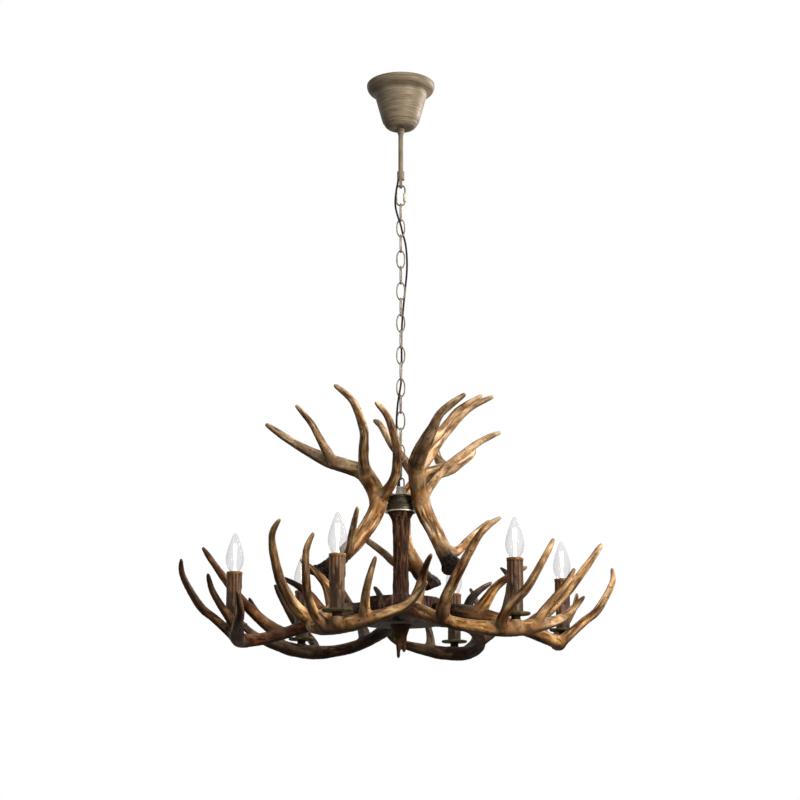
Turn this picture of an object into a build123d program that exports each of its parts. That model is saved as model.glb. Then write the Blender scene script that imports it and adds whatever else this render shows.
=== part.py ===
"""Antler chandelier with six candle arms, three upper antlers, a chain and a ceiling canopy.

Millimetres, +Z up. The origin is the point where the chandelier's axis meets the ceiling plane, so
every height is negative. X points to the right of the front view and Y away from the viewer.
"""

import os
from math import atan2, cos, degrees, pi, radians, sin, sqrt, tan

from build123d import *

# ---------------------------------------------------------------- overall layout
LOWER_COUNT = 6  # candle arms, one antler each
LOWER_FIRST_AZIMUTH = 9.58  # degrees from +X to the first candle
UPPER_COUNT = 3  # antlers that stand up round the collar
UPPER_FIRST_AZIMUTH = -50.42
CANDLE_RING_RADIUS = 319.0
HUB_LEVEL = -1085.0  # mid height of the antler roots on the hub
COLLAR_LEVEL = -872.0  # mid height of the collar that the upper antlers lean on

SEAT_GAP = 0.2  # play between pieces that hang or stand on each other loosely
FIT_GAP = 0.1  # radial play of a shaft or screw in its hole

# ---------------------------------------------------------------- ceiling bracket, stem and canopy
BRACKET_LENGTH = 104.0
BRACKET_WIDTH = 22.0
BRACKET_SHEET = 2.0
BRACKET_DROP = 12.0  # depth of the bracket's dropped middle
BRACKET_FOOT = 22.0  # length of each foot on the ceiling
BRACKET_MIDDLE = 40.0
SLOT_SPACING = 82.0
SLOT_LENGTH = 14.0
SLOT_WIDTH = 5.5

STEM_DIAMETER = 10.0
STEM_BORE = 7.0
STEM_TOP = -5.0
STEM_LENGTH = 195.0
NUT_ACROSS_FLATS = 14.0
NUT_HEIGHT = 4.0

TERMINAL_LENGTH = 30.0
TERMINAL_WIDTH = 11.0
TERMINAL_HEIGHT = 12.0
TERMINAL_HOLE = 3.0

CANOPY_RIM_DIAMETER = 139.0
CANOPY_LIP = 3.5  # straight edge at the ceiling
CANOPY_ROLL_RADIUS = 12.0
CANOPY_ROLL_ANGLE = 55.0
CANOPY_RIM_HEIGHT = 21.0
CANOPY_SHOULDER_DIAMETER = 108.0
CANOPY_HEIGHT = 96.5
CANOPY_WAIST_DIAMETER = 77.0  # where the bottom edge starts to round
CANOPY_WAIST_HEIGHT = 78.0
CANOPY_BASE_DIAMETER = 44.0
CANOPY_WALL = 1.5
CANOPY_CEILING_GAP = 0.5

LOCK_COLLAR_DIAMETER = 14.0
LOCK_COLLAR_HEIGHT = 8.0
LOCK_COLLAR_TAPER = 4.0
GRUB_DIAMETER = 4.0

COUPLING_DIAMETER = 15.0
COUPLING_HEIGHT = 17.0
COUPLING_TOP = -189.5
TONGUE_THICKNESS = 6.4
TONGUE_RADIUS = 6.2
TONGUE_HOLE = 4.8
EYE_LEVEL = -218.5

# ---------------------------------------------------------------- chain
WIRE = 3.0  # chain wire, across flats
LINK_INNER_LENGTH = 33.3
LINK_OUTER_WIDTH = 18.4
LINK_COUNT = 16  # links between the quick link and the last link
QUICK_WIRE = 3.5
QUICK_OUTER_LENGTH = 46.5
QUICK_OUTER_WIDTH = 20.5
QUICK_FLAT = 4.6  # half length of the straight stretch in the stem's eye
QUICK_GATE_GAP = 5.0  # opening in the side of the quick link
SLEEVE_NUT_LEVEL = -244.5
SLEEVE_NUT_LENGTH = 19.0
GATE_COVER = 1.5  # how far the sleeve nut reaches below the opening
SLEEVE_NUT_FLATS = 6.2
WIRE_SIDES = 8

# ---------------------------------------------------------------- collar, column and hub
BAIL_WIRE = 2.8
BAIL_HALF_WIDTH = 6.3  # axis to the centre of a leg
BAIL_DEPTH = 6.0  # length of the legs in the neck
COLLAR_HEIGHT = 30.0
COLLAR_TOP = COLLAR_LEVEL + COLLAR_HEIGHT / 2 + 0.5
NECK_HEIGHT = 18.0
NECK_TOP = COLLAR_TOP + NECK_HEIGHT
NECK_TOP_DIAMETER = 18.0
NECK_FOOT_DIAMETER = 24.0
COLLAR_DIAMETER = 60.0
COLLAR_BAND_STEP = 1.4  # depth of the turned bands
COLLAR_WALL = 4.0
WASHER_THICKNESS = 2.5
ROD_DIAMETER = 10.0
ROD_BORE = 6.0
ROD_TOP_IN_NECK = 9.0
COLUMN_DIAMETER = 31.0
COLUMN_WAIST_DIAMETER = 29.0
COLUMN_FLARE_HEIGHT = 26.0
HUB_TOP = HUB_LEVEL + 29.0
HUB_HEIGHT = 47.0
HUB_DIAMETER = 150.0
HUB_WALL = 5.0
HUB_PLATE_THICKNESS = 3.0
HUB_NUT_FLATS = 17.0
HUB_NUT_HEIGHT = 5.0
STUD_DIAMETER = 8.0
STUD_INSIDE = 11.0  # length of a stud inside the hub's wall
STUD_OUTSIDE = 30.0  # length of a stud in the antler
STUD_NUT_FLATS = 13.0
STUD_NUT_HEIGHT = 6.0
UPPER_STUD_DIAMETER = 6.0
UPPER_STUD_DEPTH = 12.0
FINIAL_DEPTH = 61.4  # hub plate to the longest tip
FINIAL_BASE_DIAMETER = 44.0

# ---------------------------------------------------------------- candles and bulbs
BOSS_RISE = 16.5  # top of the candle's boss over the beam's line
BEAM_DROP = 52.5  # the beam's line under HUB_LEVEL where it carries the candle
BOSS_TOP = HUB_LEVEL - BEAM_DROP + BOSS_RISE
BOSS_DIAMETER = 21.0
SPACER_HEIGHT = 8.0
SPACER_DIAMETER = 18.0
PLATE_DIAMETER = 53.0
PLATE_THICKNESS = 3.5
PLATE_RIM = 1.6
SLEEVE_DIAMETER = 28.5
SLEEVE_BORE = 24.0
SLEEVE_HEIGHT = 99.0
DRIP_DIAMETER = 5.0
NIPPLE_DIAMETER = 10.0
NIPPLE_BORE = 7.0
NIPPLE_BELOW = 14.0  # length in the antler
NIPPLE_ABOVE = 14.0  # length in the lampholder
HOLDER_DIAMETER = 22.0
HOLDER_SHORTFALL = 2.0  # the lampholder ends this far below the sleeve's top
CAP_DIAMETER = 14.0
CAP_LENGTH = 24.0
BULB_DIAMETER = 35.0
BULB_LENGTH = 75.3  # glass above the cap
BULB_WALL = 1.2
BULB_SIDES = 12
FILAMENT_COUNT = 4
FILAMENT_LENGTH = 30.0
FILAMENT_WIDTH = 2.0

CORD_DIAMETER = 4.0

# Branches of the lower antler, whose candle stands on +X. Each station is x, y, height over
# HUB_LEVEL, and diameter. A tine starts inside the beam.
LOWER_BRANCHES = {
    "beam": (10, [
        (55, -41, 0, 37), (104, -72, -4, 32), (165, -90, -15, 26), (215, -88, -32, 24),
        (262, -69, 6.5 - BEAM_DROP, 23), (CANDLE_RING_RADIUS - 19, -29, -1.5 - BEAM_DROP, 24),
        (CANDLE_RING_RADIUS - 6, 20, 1.5 - BEAM_DROP, 25), (316, 66, -41, 23),
        (316, 134, -16, 15), (325, 169, 18, 5),
    ]),
    "tine a": (8, [(222, -88, -32, 21), (246, -106, -14, 21), (307, -119, 47, 17),
                   (353, -111, 105, 12), (376, -85, 132, 5)]),
    "tine b": (8, [(306, -25, -52, 18), (325, -37, -34, 16), (382, -31, 13, 14),
                   (415, -18, 66, 10), (420, -2, 97, 5)]),
    "tine c": (8, [(315, 52, -43, 17), (329, 56, -21, 15), (348, 66, 3, 13), (366, 81, 31, 10),
                   (375, 94, 58, 5)]),
    "brow tine": (8, [(130, -82, -8, 24), (150, -83, 20, 20), (167, -88, 45, 16),
                      (222, -113, 81, 5)]),
}
# Branches of the upper antler, given in the same way with heights over COLLAR_LEVEL. It leans on
# the collar at +X, turned by the azimuth of the seat.
UPPER_BRANCHES = {
    "beam": (10, [
        (157, -6, -144, 42), (145, 0, -134, 34), (118, 10, -108, 31), (80, 21, -66, 31),
        (52, 18, -25, 33), (44, 10, 8, 34), (66, -17, 58, 29), (134, -54, 91, 25),
        (211, -77, 135, 16), (259, -62, 162, 5),
    ]),
    "inner tine": (8, [(45, 10, 2, 24), (32, 32, 18, 21), (20, 58, 41, 19), (28, 113, 95, 17),
                       (52, 161, 136, 12), (79, 192, 155, 5)]),
    "tall tine": (8, [(64, -15, 54, 22), (74, 6, 80, 21), (81, 48, 136, 18), (107, 82, 182, 12),
                      (145, 112, 203, 5)]),
    "outer tine": (8, [(128, -50, 88, 20), (145, -29, 110, 18), (177, -5, 156, 12),
                       (209, 25, 181, 5)]),
    "brow tine": (8, [(112, 12, -102, 24), (108, 42, -102, 19), (107, 78, -76, 14),
                      (104, 138, -31, 6)]),
}
# The antler at the back has a shorter inner tine than the others.
REAR_BRANCHES = UPPER_BRANCHES | {
    "inner tine": (8, [(45, 10, 2, 24), (32, 32, 18, 21), (20, 58, 41, 17), (22, 82, 62, 11),
                       (26, 96, 72, 6)]),
}
REAR_NUMBER = 2
ROOT_AZIMUTH = degrees(atan2(-45, 61))  # where the lower antler meets the hub
SEAT_AZIMUTH = degrees(atan2(11, 45))  # where the upper antler meets the collar

# The supply cord hangs from the stem's coupling to the neck, weaving through two chain links.
CORD_ROUTE = [
    (-5.4, -1.4, COUPLING_TOP - COUPLING_HEIGHT), (-5.4, -1.4, -210.5), (-7.6, -6.2, -222),
    (-10.2, -7.4, -240), (-11.8, -7.2, -263), (-6.6, -7.0, -286), (-0.6, -4.9, -301.5),
    (3.6, 4.5, -319), (9.6, 8.0, -338), (12.4, 8.6, -366), (12.6, 9.4, -396), (9.6, 11.0, -427),
    (6.0, 12.2, -462), (2.6, 13.0, -500), (1.2, 13.8, -540), (1.8, 13.2, -578),
    (1.0, 13.4, -610), (0.6, 10.6, -629), (-2.4, -7.2, -651), (-6.4, -9.8, -676),
    (-8.6, -9.6, -708), (-8.4, -9.2, -744), (-7.2, -9.8, -778), (-6.2, -9.2, -805),
    (-4.0, -7.4, -821), (-2.9, -5.6, -830), (-2.9, -5.6, NECK_TOP),
]


def keep(piece, name):
    """Labels a finished piece and writes its file."""
    piece.label = name
    export_step(piece, f"parts/{name}.step")


def around(count, first):
    """Azimuths of count copies spread evenly round the axis."""
    return [first + 360 / count * index for index in range(count)]


def polar(radius, azimuth, height=0.0):
    """Point at a radius, an azimuth in degrees and a height."""
    return (radius * cos(radians(azimuth)), radius * sin(radians(azimuth)), height)


def facing_out(radius, azimuth, height):
    """Plane that stands at this place and faces away from the axis."""
    return Plane(polar(radius, azimuth, height), z_dir=polar(1, azimuth))


LOWER_AZIMUTHS = around(LOWER_COUNT, LOWER_FIRST_AZIMUTH)
UPPER_AZIMUTHS = around(UPPER_COUNT, UPPER_FIRST_AZIMUTH)
CANDLES = [Location(polar(CANDLE_RING_RADIUS, azimuth)) for azimuth in LOWER_AZIMUTHS]


def grow(stations, sides, level=0.0):
    """Adds one branch to the current part: a loft through polygons square to its line."""
    centres = [Vector(x, y, level + z) for x, y, z, _ in stations]
    across = Vector(0, 0, 1).cross(centres[1] - centres[0])
    if across.length == 0:
        across = Vector(0, 1, 0)
    sections = []
    for index, (_, _, _, diameter) in enumerate(stations):
        along = centres[min(index + 1, len(centres) - 1)] - centres[max(index - 1, 0)]
        along = along.normalized()
        across = (across - along * across.dot(along)).normalized()
        with BuildSketch(Plane(centres[index], x_dir=across, z_dir=along)) as section:
            RegularPolygon(diameter / 2, sides)
        sections.append(section.sketch)
    loft(sections, ruled=True)


def ring_of_wire(half_width, half_length, flat, wire):
    """Adds a closed link in the XZ plane, centred on the origin, of straight eight-sided runs."""
    bend = half_width - flat
    line = [(-half_width, 0), (-half_width, half_length - 1.7 * bend),
            (-half_width + 0.35 * bend, half_length - 0.75 * bend), (-flat, half_length),
            (flat, half_length), (half_width - 0.35 * bend, half_length - 0.75 * bend),
            (half_width, half_length - 1.7 * bend), (half_width, 0)]
    sections = []
    for index, (x, z) in enumerate(line):
        before = Vector(*line[max(index - 1, 0)])
        after = Vector(*line[min(index + 1, len(line) - 1)])
        along = Vector(after.X - before.X, 0, after.Y - before.Y)
        if index in (0, len(line) - 1):
            along = Vector(0, 0, 1 if index == 0 else -1)
        with BuildSketch(Plane((x, 0, z), x_dir=(0, 1, 0), z_dir=along)) as section:
            RegularPolygon(wire / 2, WIRE_SIDES, major_radius=False, rotation=180 / WIRE_SIDES)
        sections.append(section.sketch)
    loft(sections, ruled=True)
    mirror(about=Plane.XY)


os.makedirs("parts", exist_ok=True)

# ================================================================ ceiling bracket and stem
foot_inner = BRACKET_LENGTH / 2 - BRACKET_FOOT
with BuildPart() as ceiling_bracket:
    with BuildSketch(Plane.XZ) as strap:
        with BuildLine():
            top = Polyline(
                (-BRACKET_LENGTH / 2, 0), (-foot_inner, 0), (-BRACKET_MIDDLE / 2, -BRACKET_DROP),
                (BRACKET_MIDDLE / 2, -BRACKET_DROP), (foot_inner, 0), (BRACKET_LENGTH / 2, 0),
            )
            low = Polyline(
                (-BRACKET_LENGTH / 2, -BRACKET_SHEET), (-foot_inner, -BRACKET_SHEET),
                (-BRACKET_MIDDLE / 2, -BRACKET_DROP - BRACKET_SHEET),
                (BRACKET_MIDDLE / 2, -BRACKET_DROP - BRACKET_SHEET),
                (foot_inner, -BRACKET_SHEET), (BRACKET_LENGTH / 2, -BRACKET_SHEET),
            )
            Line(top @ 0, low @ 0)
            Line(top @ 1, low @ 1)
        make_face()
    extrude(amount=BRACKET_WIDTH / 2, both=True)
    with BuildSketch(Plane.XY):
        with GridLocations(SLOT_SPACING, 0, 2, 1):
            SlotOverall(SLOT_LENGTH, SLOT_WIDTH)
        Circle(STEM_DIAMETER / 2 + FIT_GAP)
    extrude(amount=-BRACKET_DROP - 2 * BRACKET_SHEET, mode=Mode.SUBTRACT)
keep(ceiling_bracket.part, "ceiling_bracket")

with BuildPart() as stem:
    with BuildSketch(Plane.XY.offset(STEM_TOP)):
        Circle(STEM_DIAMETER / 2)
        Circle(STEM_BORE / 2, mode=Mode.SUBTRACT)
    extrude(amount=-STEM_LENGTH)
keep(stem.part, "stem")

with BuildPart() as stem_nuts:
    for nut_base in (-BRACKET_DROP, -BRACKET_DROP - BRACKET_SHEET - NUT_HEIGHT):
        with BuildSketch(Plane.XY.offset(nut_base)):
            RegularPolygon(NUT_ACROSS_FLATS / 2, 6, major_radius=False)
            Circle(STEM_DIAMETER / 2 + FIT_GAP, mode=Mode.SUBTRACT)
        extrude(amount=NUT_HEIGHT)
keep(stem_nuts.part, "stem_nuts")

terminal_x = BRACKET_MIDDLE / 2 - TERMINAL_WIDTH / 2
with BuildPart() as terminal_block:
    with BuildSketch(Plane.XY.offset(-BRACKET_DROP - BRACKET_SHEET)):
        with Locations((terminal_x, 0)):
            Rectangle(TERMINAL_WIDTH, TERMINAL_LENGTH)
    extrude(amount=-TERMINAL_HEIGHT)
    with BuildSketch(faces().sort_by(Axis.Z)[0]):
        with GridLocations(TERMINAL_LENGTH / 3, TERMINAL_LENGTH / 3, 1, 3):
            Rectangle(TERMINAL_HOLE, TERMINAL_HOLE)
    extrude(amount=-TERMINAL_HEIGHT / 2, mode=Mode.SUBTRACT)
keep(terminal_block.part, "terminal_block")

eye_top = COUPLING_TOP - COUPLING_HEIGHT
with BuildPart() as stem_coupling:
    with BuildSketch(Plane.XY.offset(COUPLING_TOP)):
        Circle(COUPLING_DIAMETER / 2)
    extrude(amount=-COUPLING_HEIGHT)
    with BuildSketch(Plane.YZ):
        with Locations((0, EYE_LEVEL)):
            Circle(TONGUE_RADIUS)
        with Locations((0, (EYE_LEVEL + eye_top) / 2 + 1)):
            Rectangle(2 * TONGUE_RADIUS, eye_top - EYE_LEVEL + 2)
    extrude(amount=TONGUE_THICKNESS / 2, both=True)
    with BuildSketch(Plane.YZ):
        with Locations((0, EYE_LEVEL)):
            Circle(TONGUE_HOLE / 2)
    extrude(amount=TONGUE_THICKNESS, both=True, mode=Mode.SUBTRACT)
    stem_end = COUPLING_TOP - (STEM_TOP - STEM_LENGTH)
    with BuildSketch(Plane.XY.offset(COUPLING_TOP)):
        Circle(STEM_DIAMETER / 2 + FIT_GAP / 2)
    extrude(amount=-stem_end, mode=Mode.SUBTRACT)
keep(stem_coupling.part, "stem_coupling")

# ================================================================ canopy
canopy_base = -CANOPY_HEIGHT
rim = CANOPY_RIM_DIAMETER / 2
shoulder = CANOPY_SHOULDER_DIAMETER / 2
waist = CANOPY_WAIST_DIAMETER / 2
canopy_hole = STEM_DIAMETER / 2 + SEAT_GAP
with BuildPart() as canopy:
    with BuildSketch(Plane.XZ):
        with BuildLine():
            lip = Line((rim, -CANOPY_CEILING_GAP), (rim, -CANOPY_LIP))
            roll = JernArc(lip @ 1, (0, -1), CANOPY_ROLL_RADIUS, -CANOPY_ROLL_ANGLE)
            fall = Line(roll @ 1, (shoulder, -CANOPY_RIM_HEIGHT))
            cone = Line(fall @ 1, (waist, -CANOPY_WAIST_HEIGHT))
            base = Line((CANOPY_BASE_DIAMETER / 2, canopy_base), (canopy_hole, canopy_base))
            turn = TangentArc(cone @ 1, base @ 0, tangent=cone % 1)
            inside_base = Line(base @ 1, (canopy_hole, canopy_base + CANOPY_WALL))
            floor = Line(inside_base @ 1, (CANOPY_BASE_DIAMETER / 2, canopy_base + CANOPY_WALL))
            inner_turn = Line(floor @ 1, (waist - CANOPY_WALL, -CANOPY_WAIST_HEIGHT))
            inner_cone = Line(inner_turn @ 1, (shoulder - CANOPY_WALL, -CANOPY_RIM_HEIGHT + CANOPY_WALL))
            inner_roll = Line(inner_cone @ 1, (rim - CANOPY_WALL, -CANOPY_LIP - CANOPY_WALL))
            inner_lip = Line(inner_roll @ 1, (rim - CANOPY_WALL, -CANOPY_CEILING_GAP))
            Line(inner_lip @ 1, lip @ 0)
        make_face()
    revolve(axis=Axis.Z)
keep(canopy.part, "canopy")

lock_top = canopy_base
with BuildPart() as lock_collar:
    with BuildSketch(Plane.XZ):
        with BuildLine():
            Polyline(
                (STEM_DIAMETER / 2 + FIT_GAP, lock_top), (LOCK_COLLAR_DIAMETER / 2, lock_top),
                (LOCK_COLLAR_DIAMETER / 2, lock_top - LOCK_COLLAR_HEIGHT),
                (STEM_DIAMETER / 2 + 1, lock_top - LOCK_COLLAR_HEIGHT - LOCK_COLLAR_TAPER),
                (STEM_DIAMETER / 2 + FIT_GAP, lock_top - LOCK_COLLAR_HEIGHT - LOCK_COLLAR_TAPER),
                close=True,
            )
        make_face()
    revolve(axis=Axis.Z)
    with BuildSketch(Plane.YZ):
        with Locations((0, lock_top - LOCK_COLLAR_HEIGHT / 2)):
            Circle(GRUB_DIAMETER / 2 + FIT_GAP / 2)
    extrude(amount=-LOCK_COLLAR_DIAMETER, mode=Mode.SUBTRACT)
keep(lock_collar.part, "lock_collar")

with BuildPart() as grub_screw:
    with BuildSketch(Plane.YZ.offset(-STEM_DIAMETER / 2 - FIT_GAP)):
        with Locations((0, lock_top - LOCK_COLLAR_HEIGHT / 2)):
            Circle(GRUB_DIAMETER / 2)
    extrude(amount=-LOCK_COLLAR_DIAMETER / 2 + STEM_DIAMETER / 2 + FIT_GAP)
    with BuildSketch(faces().sort_by(Axis.X)[0]):
        RegularPolygon(GRUB_DIAMETER / 4, 6)
    extrude(amount=-GRUB_DIAMETER / 4, mode=Mode.SUBTRACT)
keep(grub_screw.part, "grub_screw")

# ================================================================ chain
quick_half = (QUICK_OUTER_LENGTH - QUICK_WIRE) / 2
quick_side = (QUICK_OUTER_WIDTH - QUICK_WIRE) / 2
quick_level = EYE_LEVEL - quick_half
sleeve_nut_base = SLEEVE_NUT_LEVEL - SLEEVE_NUT_LENGTH / 2
gate_level = sleeve_nut_base + GATE_COVER + QUICK_GATE_GAP / 2
with BuildPart() as quick_link:
    ring_of_wire(quick_side, quick_half, QUICK_FLAT, QUICK_WIRE)
    with Locations((quick_side, 0, gate_level - quick_level)):
        Box(QUICK_WIRE * 2, QUICK_WIRE * 2, QUICK_GATE_GAP, mode=Mode.SUBTRACT)
keep(quick_link.part.moved(Location((0, 0, quick_level))), "quick_link")

with BuildPart() as quick_link_sleeve:
    with BuildSketch(Plane.XY.offset(sleeve_nut_base)):
        with Locations((quick_side, 0)):
            RegularPolygon(SLEEVE_NUT_FLATS / 2, 6, major_radius=False)
            Circle(QUICK_WIRE / 2 / cos(radians(180 / WIRE_SIDES)) + FIT_GAP, mode=Mode.SUBTRACT)
    extrude(amount=SLEEVE_NUT_LENGTH)
keep(quick_link_sleeve.part, "quick_link_sleeve")

link_half = (LINK_INNER_LENGTH + WIRE) / 2
link_side = (LINK_OUTER_WIDTH - WIRE) / 2
link_pitch = LINK_INNER_LENGTH - SEAT_GAP
first_link_level = EYE_LEVEL - 2 * quick_half + (QUICK_WIRE + WIRE) / 2 + SEAT_GAP - link_half
with BuildPart() as link:
    ring_of_wire(link_side, link_half, link_side / 3, WIRE)


def link_places(indices, turn):
    """Places of the links with these numbers, counted down from the quick link."""
    return [Location((0, 0, first_link_level - link_pitch * index), (0, 0, turn)) for index in indices]


with BuildPart() as chain_links_side:
    with Locations(link_places(range(0, LINK_COUNT, 2), 90)):
        add(link.part)
keep(chain_links_side.part, "chain_links_side")

with BuildPart() as chain_links_front:
    with Locations(link_places(range(1, LINK_COUNT, 2), 0)):
        add(link.part)
keep(chain_links_front.part, "chain_links_front")

last_link_level = first_link_level - link_pitch * LINK_COUNT
with BuildPart() as last_link:
    with Locations(link_places([LINK_COUNT], 90)):
        add(link.part)
keep(last_link.part, "last_link")

# ================================================================ neck, collar and column
bail_level = last_link_level - link_half + (WIRE + BAIL_WIRE) / 2 + SEAT_GAP
bail_bend = BAIL_HALF_WIDTH - BAIL_HALF_WIDTH / 3
with BuildPart() as top_loop:
    bail_line = [
        (-BAIL_HALF_WIDTH, NECK_TOP - BAIL_DEPTH), (-BAIL_HALF_WIDTH, bail_level - bail_bend),
        (-BAIL_HALF_WIDTH / 3, bail_level), (BAIL_HALF_WIDTH / 3, bail_level),
        (BAIL_HALF_WIDTH, bail_level - bail_bend), (BAIL_HALF_WIDTH, NECK_TOP - BAIL_DEPTH),
    ]
    for index, (x, z) in enumerate(bail_line):
        before = bail_line[max(index - 1, 0)]
        after = bail_line[min(index + 1, len(bail_line) - 1)]
        direction = (after[0] - before[0], 0, after[1] - before[1])
        with BuildSketch(Plane((x, 0, z), x_dir=(0, 1, 0), z_dir=direction)):
            RegularPolygon(BAIL_WIRE / 2, WIRE_SIDES, major_radius=False, rotation=180 / WIRE_SIDES)
    loft(ruled=True)
keep(top_loop.part, "top_loop")

with BuildPart() as neck:
    with BuildSketch(Plane.XZ):
        with BuildLine():
            Polyline(
                (0, NECK_TOP), (NECK_TOP_DIAMETER / 2, NECK_TOP),
                (NECK_TOP_DIAMETER / 2, NECK_TOP - 9), (NECK_FOOT_DIAMETER / 2, COLLAR_TOP + 3),
                (NECK_FOOT_DIAMETER / 2, COLLAR_TOP), (0, COLLAR_TOP), close=True,
            )
        make_face()
    revolve(axis=Axis.Z)
    with BuildSketch(Plane.XY.offset(COLLAR_TOP)):
        Circle(ROD_DIAMETER / 2 + FIT_GAP)
    extrude(amount=ROD_TOP_IN_NECK, mode=Mode.SUBTRACT)
    with BuildSketch(Plane.XY.offset(NECK_TOP)):
        with GridLocations(2 * BAIL_HALF_WIDTH, 0, 2, 1):
            Circle(BAIL_WIRE / 2 / cos(radians(180 / WIRE_SIDES)) + FIT_GAP)
    extrude(amount=-BAIL_DEPTH, mode=Mode.SUBTRACT)
keep(neck.part, "neck")

collar_radius = COLLAR_DIAMETER / 2
collar_base = COLLAR_TOP - COLLAR_HEIGHT
with BuildPart() as collar:
    with BuildSketch(Plane.XZ):
        with BuildLine():
            Polyline(
                (ROD_DIAMETER / 2 + FIT_GAP, COLLAR_TOP), (collar_radius - 3, COLLAR_TOP),
                (collar_radius - COLLAR_BAND_STEP, COLLAR_TOP - 2),
                (collar_radius - COLLAR_BAND_STEP, collar_base + 8), (collar_radius, collar_base + 6),
                (collar_radius, collar_base), (collar_radius - COLLAR_WALL, collar_base),
                (collar_radius - COLLAR_WALL, COLLAR_TOP - COLLAR_WALL),
                (ROD_DIAMETER / 2 + FIT_GAP, COLLAR_TOP - COLLAR_WALL), close=True,
            )
        make_face()
    revolve(axis=Axis.Z)
    for azimuth in UPPER_AZIMUTHS:
        with Locations(facing_out(collar_radius, azimuth + SEAT_AZIMUTH, COLLAR_LEVEL)):
            Cylinder(UPPER_STUD_DIAMETER / 2 + FIT_GAP, 4 * COLLAR_WALL, mode=Mode.SUBTRACT)
keep(collar.part, "collar")

washer_base = collar_base - WASHER_THICKNESS
with BuildPart() as collar_washer:
    with BuildSketch(Plane.XY.offset(washer_base)):
        Circle(collar_radius + 1)
        Circle(collar_radius - COLLAR_WALL - 0.5, mode=Mode.SUBTRACT)
    extrude(amount=WASHER_THICKNESS)
keep(collar_washer.part, "collar_washer")

column_waist = (HUB_TOP + washer_base) / 2 - 12.5
tenon_radius = collar_radius - COLLAR_WALL - 1
with BuildPart() as column:
    with BuildSketch(Plane.XZ):
        with BuildLine():
            Polyline(
                (ROD_DIAMETER / 2 + FIT_GAP, HUB_TOP), (COLUMN_DIAMETER / 2 + 2, HUB_TOP),
                (COLUMN_DIAMETER / 2, HUB_TOP + 14), (COLUMN_WAIST_DIAMETER / 2, column_waist),
                (COLUMN_DIAMETER / 2, washer_base - COLUMN_FLARE_HEIGHT),
                (COLUMN_DIAMETER / 2 + 3, washer_base - COLUMN_FLARE_HEIGHT / 3),
                (collar_radius - COLLAR_WALL + 1, washer_base), (tenon_radius, washer_base),
                (tenon_radius, COLLAR_TOP - COLLAR_WALL),
                (ROD_DIAMETER / 2 + FIT_GAP, COLLAR_TOP - COLLAR_WALL), close=True,
            )
        make_face()
    revolve(axis=Axis.Z)
    for azimuth in UPPER_AZIMUTHS:
        with Locations(facing_out(collar_radius, azimuth + SEAT_AZIMUTH, COLLAR_LEVEL)):
            Cylinder(
                UPPER_STUD_DIAMETER / 2 + FIT_GAP, 2 * (UPPER_STUD_DEPTH + COLLAR_WALL + FIT_GAP),
                mode=Mode.SUBTRACT,
            )
keep(column.part, "column")

hub_base = HUB_TOP - HUB_HEIGHT
plate_base = hub_base - HUB_PLATE_THICKNESS
hub_radius = HUB_DIAMETER / 2
with BuildPart() as hub:
    with BuildSketch(Plane.XY.offset(HUB_TOP)):
        Circle(hub_radius)
        Circle(ROD_DIAMETER / 2 + FIT_GAP, mode=Mode.SUBTRACT)
    extrude(amount=-HUB_HEIGHT)
    with BuildSketch(Plane.XY.offset(hub_base)):
        Circle(hub_radius - HUB_WALL)
    extrude(amount=HUB_HEIGHT - HUB_WALL, mode=Mode.SUBTRACT)
    for azimuth in LOWER_AZIMUTHS:
        with Locations(facing_out(hub_radius, azimuth + ROOT_AZIMUTH, HUB_LEVEL)):
            Cylinder(STUD_DIAMETER / 2 + FIT_GAP, 4 * HUB_WALL, mode=Mode.SUBTRACT)
keep(hub.part, "hub")

with BuildPart() as hub_plate:
    with BuildSketch(Plane.XY.offset(plate_base)):
        Circle(hub_radius)
        Circle(ROD_DIAMETER / 2 + FIT_GAP, mode=Mode.SUBTRACT)
    extrude(amount=HUB_PLATE_THICKNESS)
keep(hub_plate.part, "hub_plate")

with BuildPart() as hub_nut:
    with BuildSketch(Plane.XY.offset(hub_base)):
        RegularPolygon(HUB_NUT_FLATS / 2, 6, major_radius=False)
        Circle(ROD_DIAMETER / 2 + FIT_GAP, mode=Mode.SUBTRACT)
    extrude(amount=HUB_NUT_HEIGHT)
keep(hub_nut.part, "hub_nut")

rod_top = COLLAR_TOP + ROD_TOP_IN_NECK - FIT_GAP
rod_base = plate_base - 10
with BuildPart() as tie_rod:
    with BuildSketch(Plane.XY.offset(rod_base)):
        Circle(ROD_DIAMETER / 2)
        Circle(ROD_BORE / 2, mode=Mode.SUBTRACT)
    extrude(amount=rod_top - rod_base)
keep(tie_rod.part, "tie_rod")

finial_radius = FINIAL_BASE_DIAMETER / 2
finial_tip = -FINIAL_DEPTH
FINIAL_BRANCHES = [
    (10, [(0, 0, 0, 2 * finial_radius), (0, 0, -9, 31), (1, 0, -22, 20), (-2, 0, -38, 14)]),
    (8, [(-1, -1, -26, 15), (-4, -2, -40, 9), (-4.5, -2, finial_tip, 5)]),
    (8, [(3, 0, -20, 15), (6, -1, -34, 10), (6, -2, finial_tip + 11, 6)]),
    (8, [(1, 3, -16, 14), (3, 9, -32, 9), (2, 11, finial_tip + 18, 5)]),
]
with BuildPart() as finial:
    for sides, stations in FINIAL_BRANCHES:
        grow(stations, sides, plate_base)
    with BuildSketch(Plane.XY.offset(plate_base)):
        Circle(ROD_DIAMETER / 2 + FIT_GAP)
    extrude(amount=rod_base - plate_base - FIT_GAP, mode=Mode.SUBTRACT)
keep(finial.part, "finial")

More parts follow.
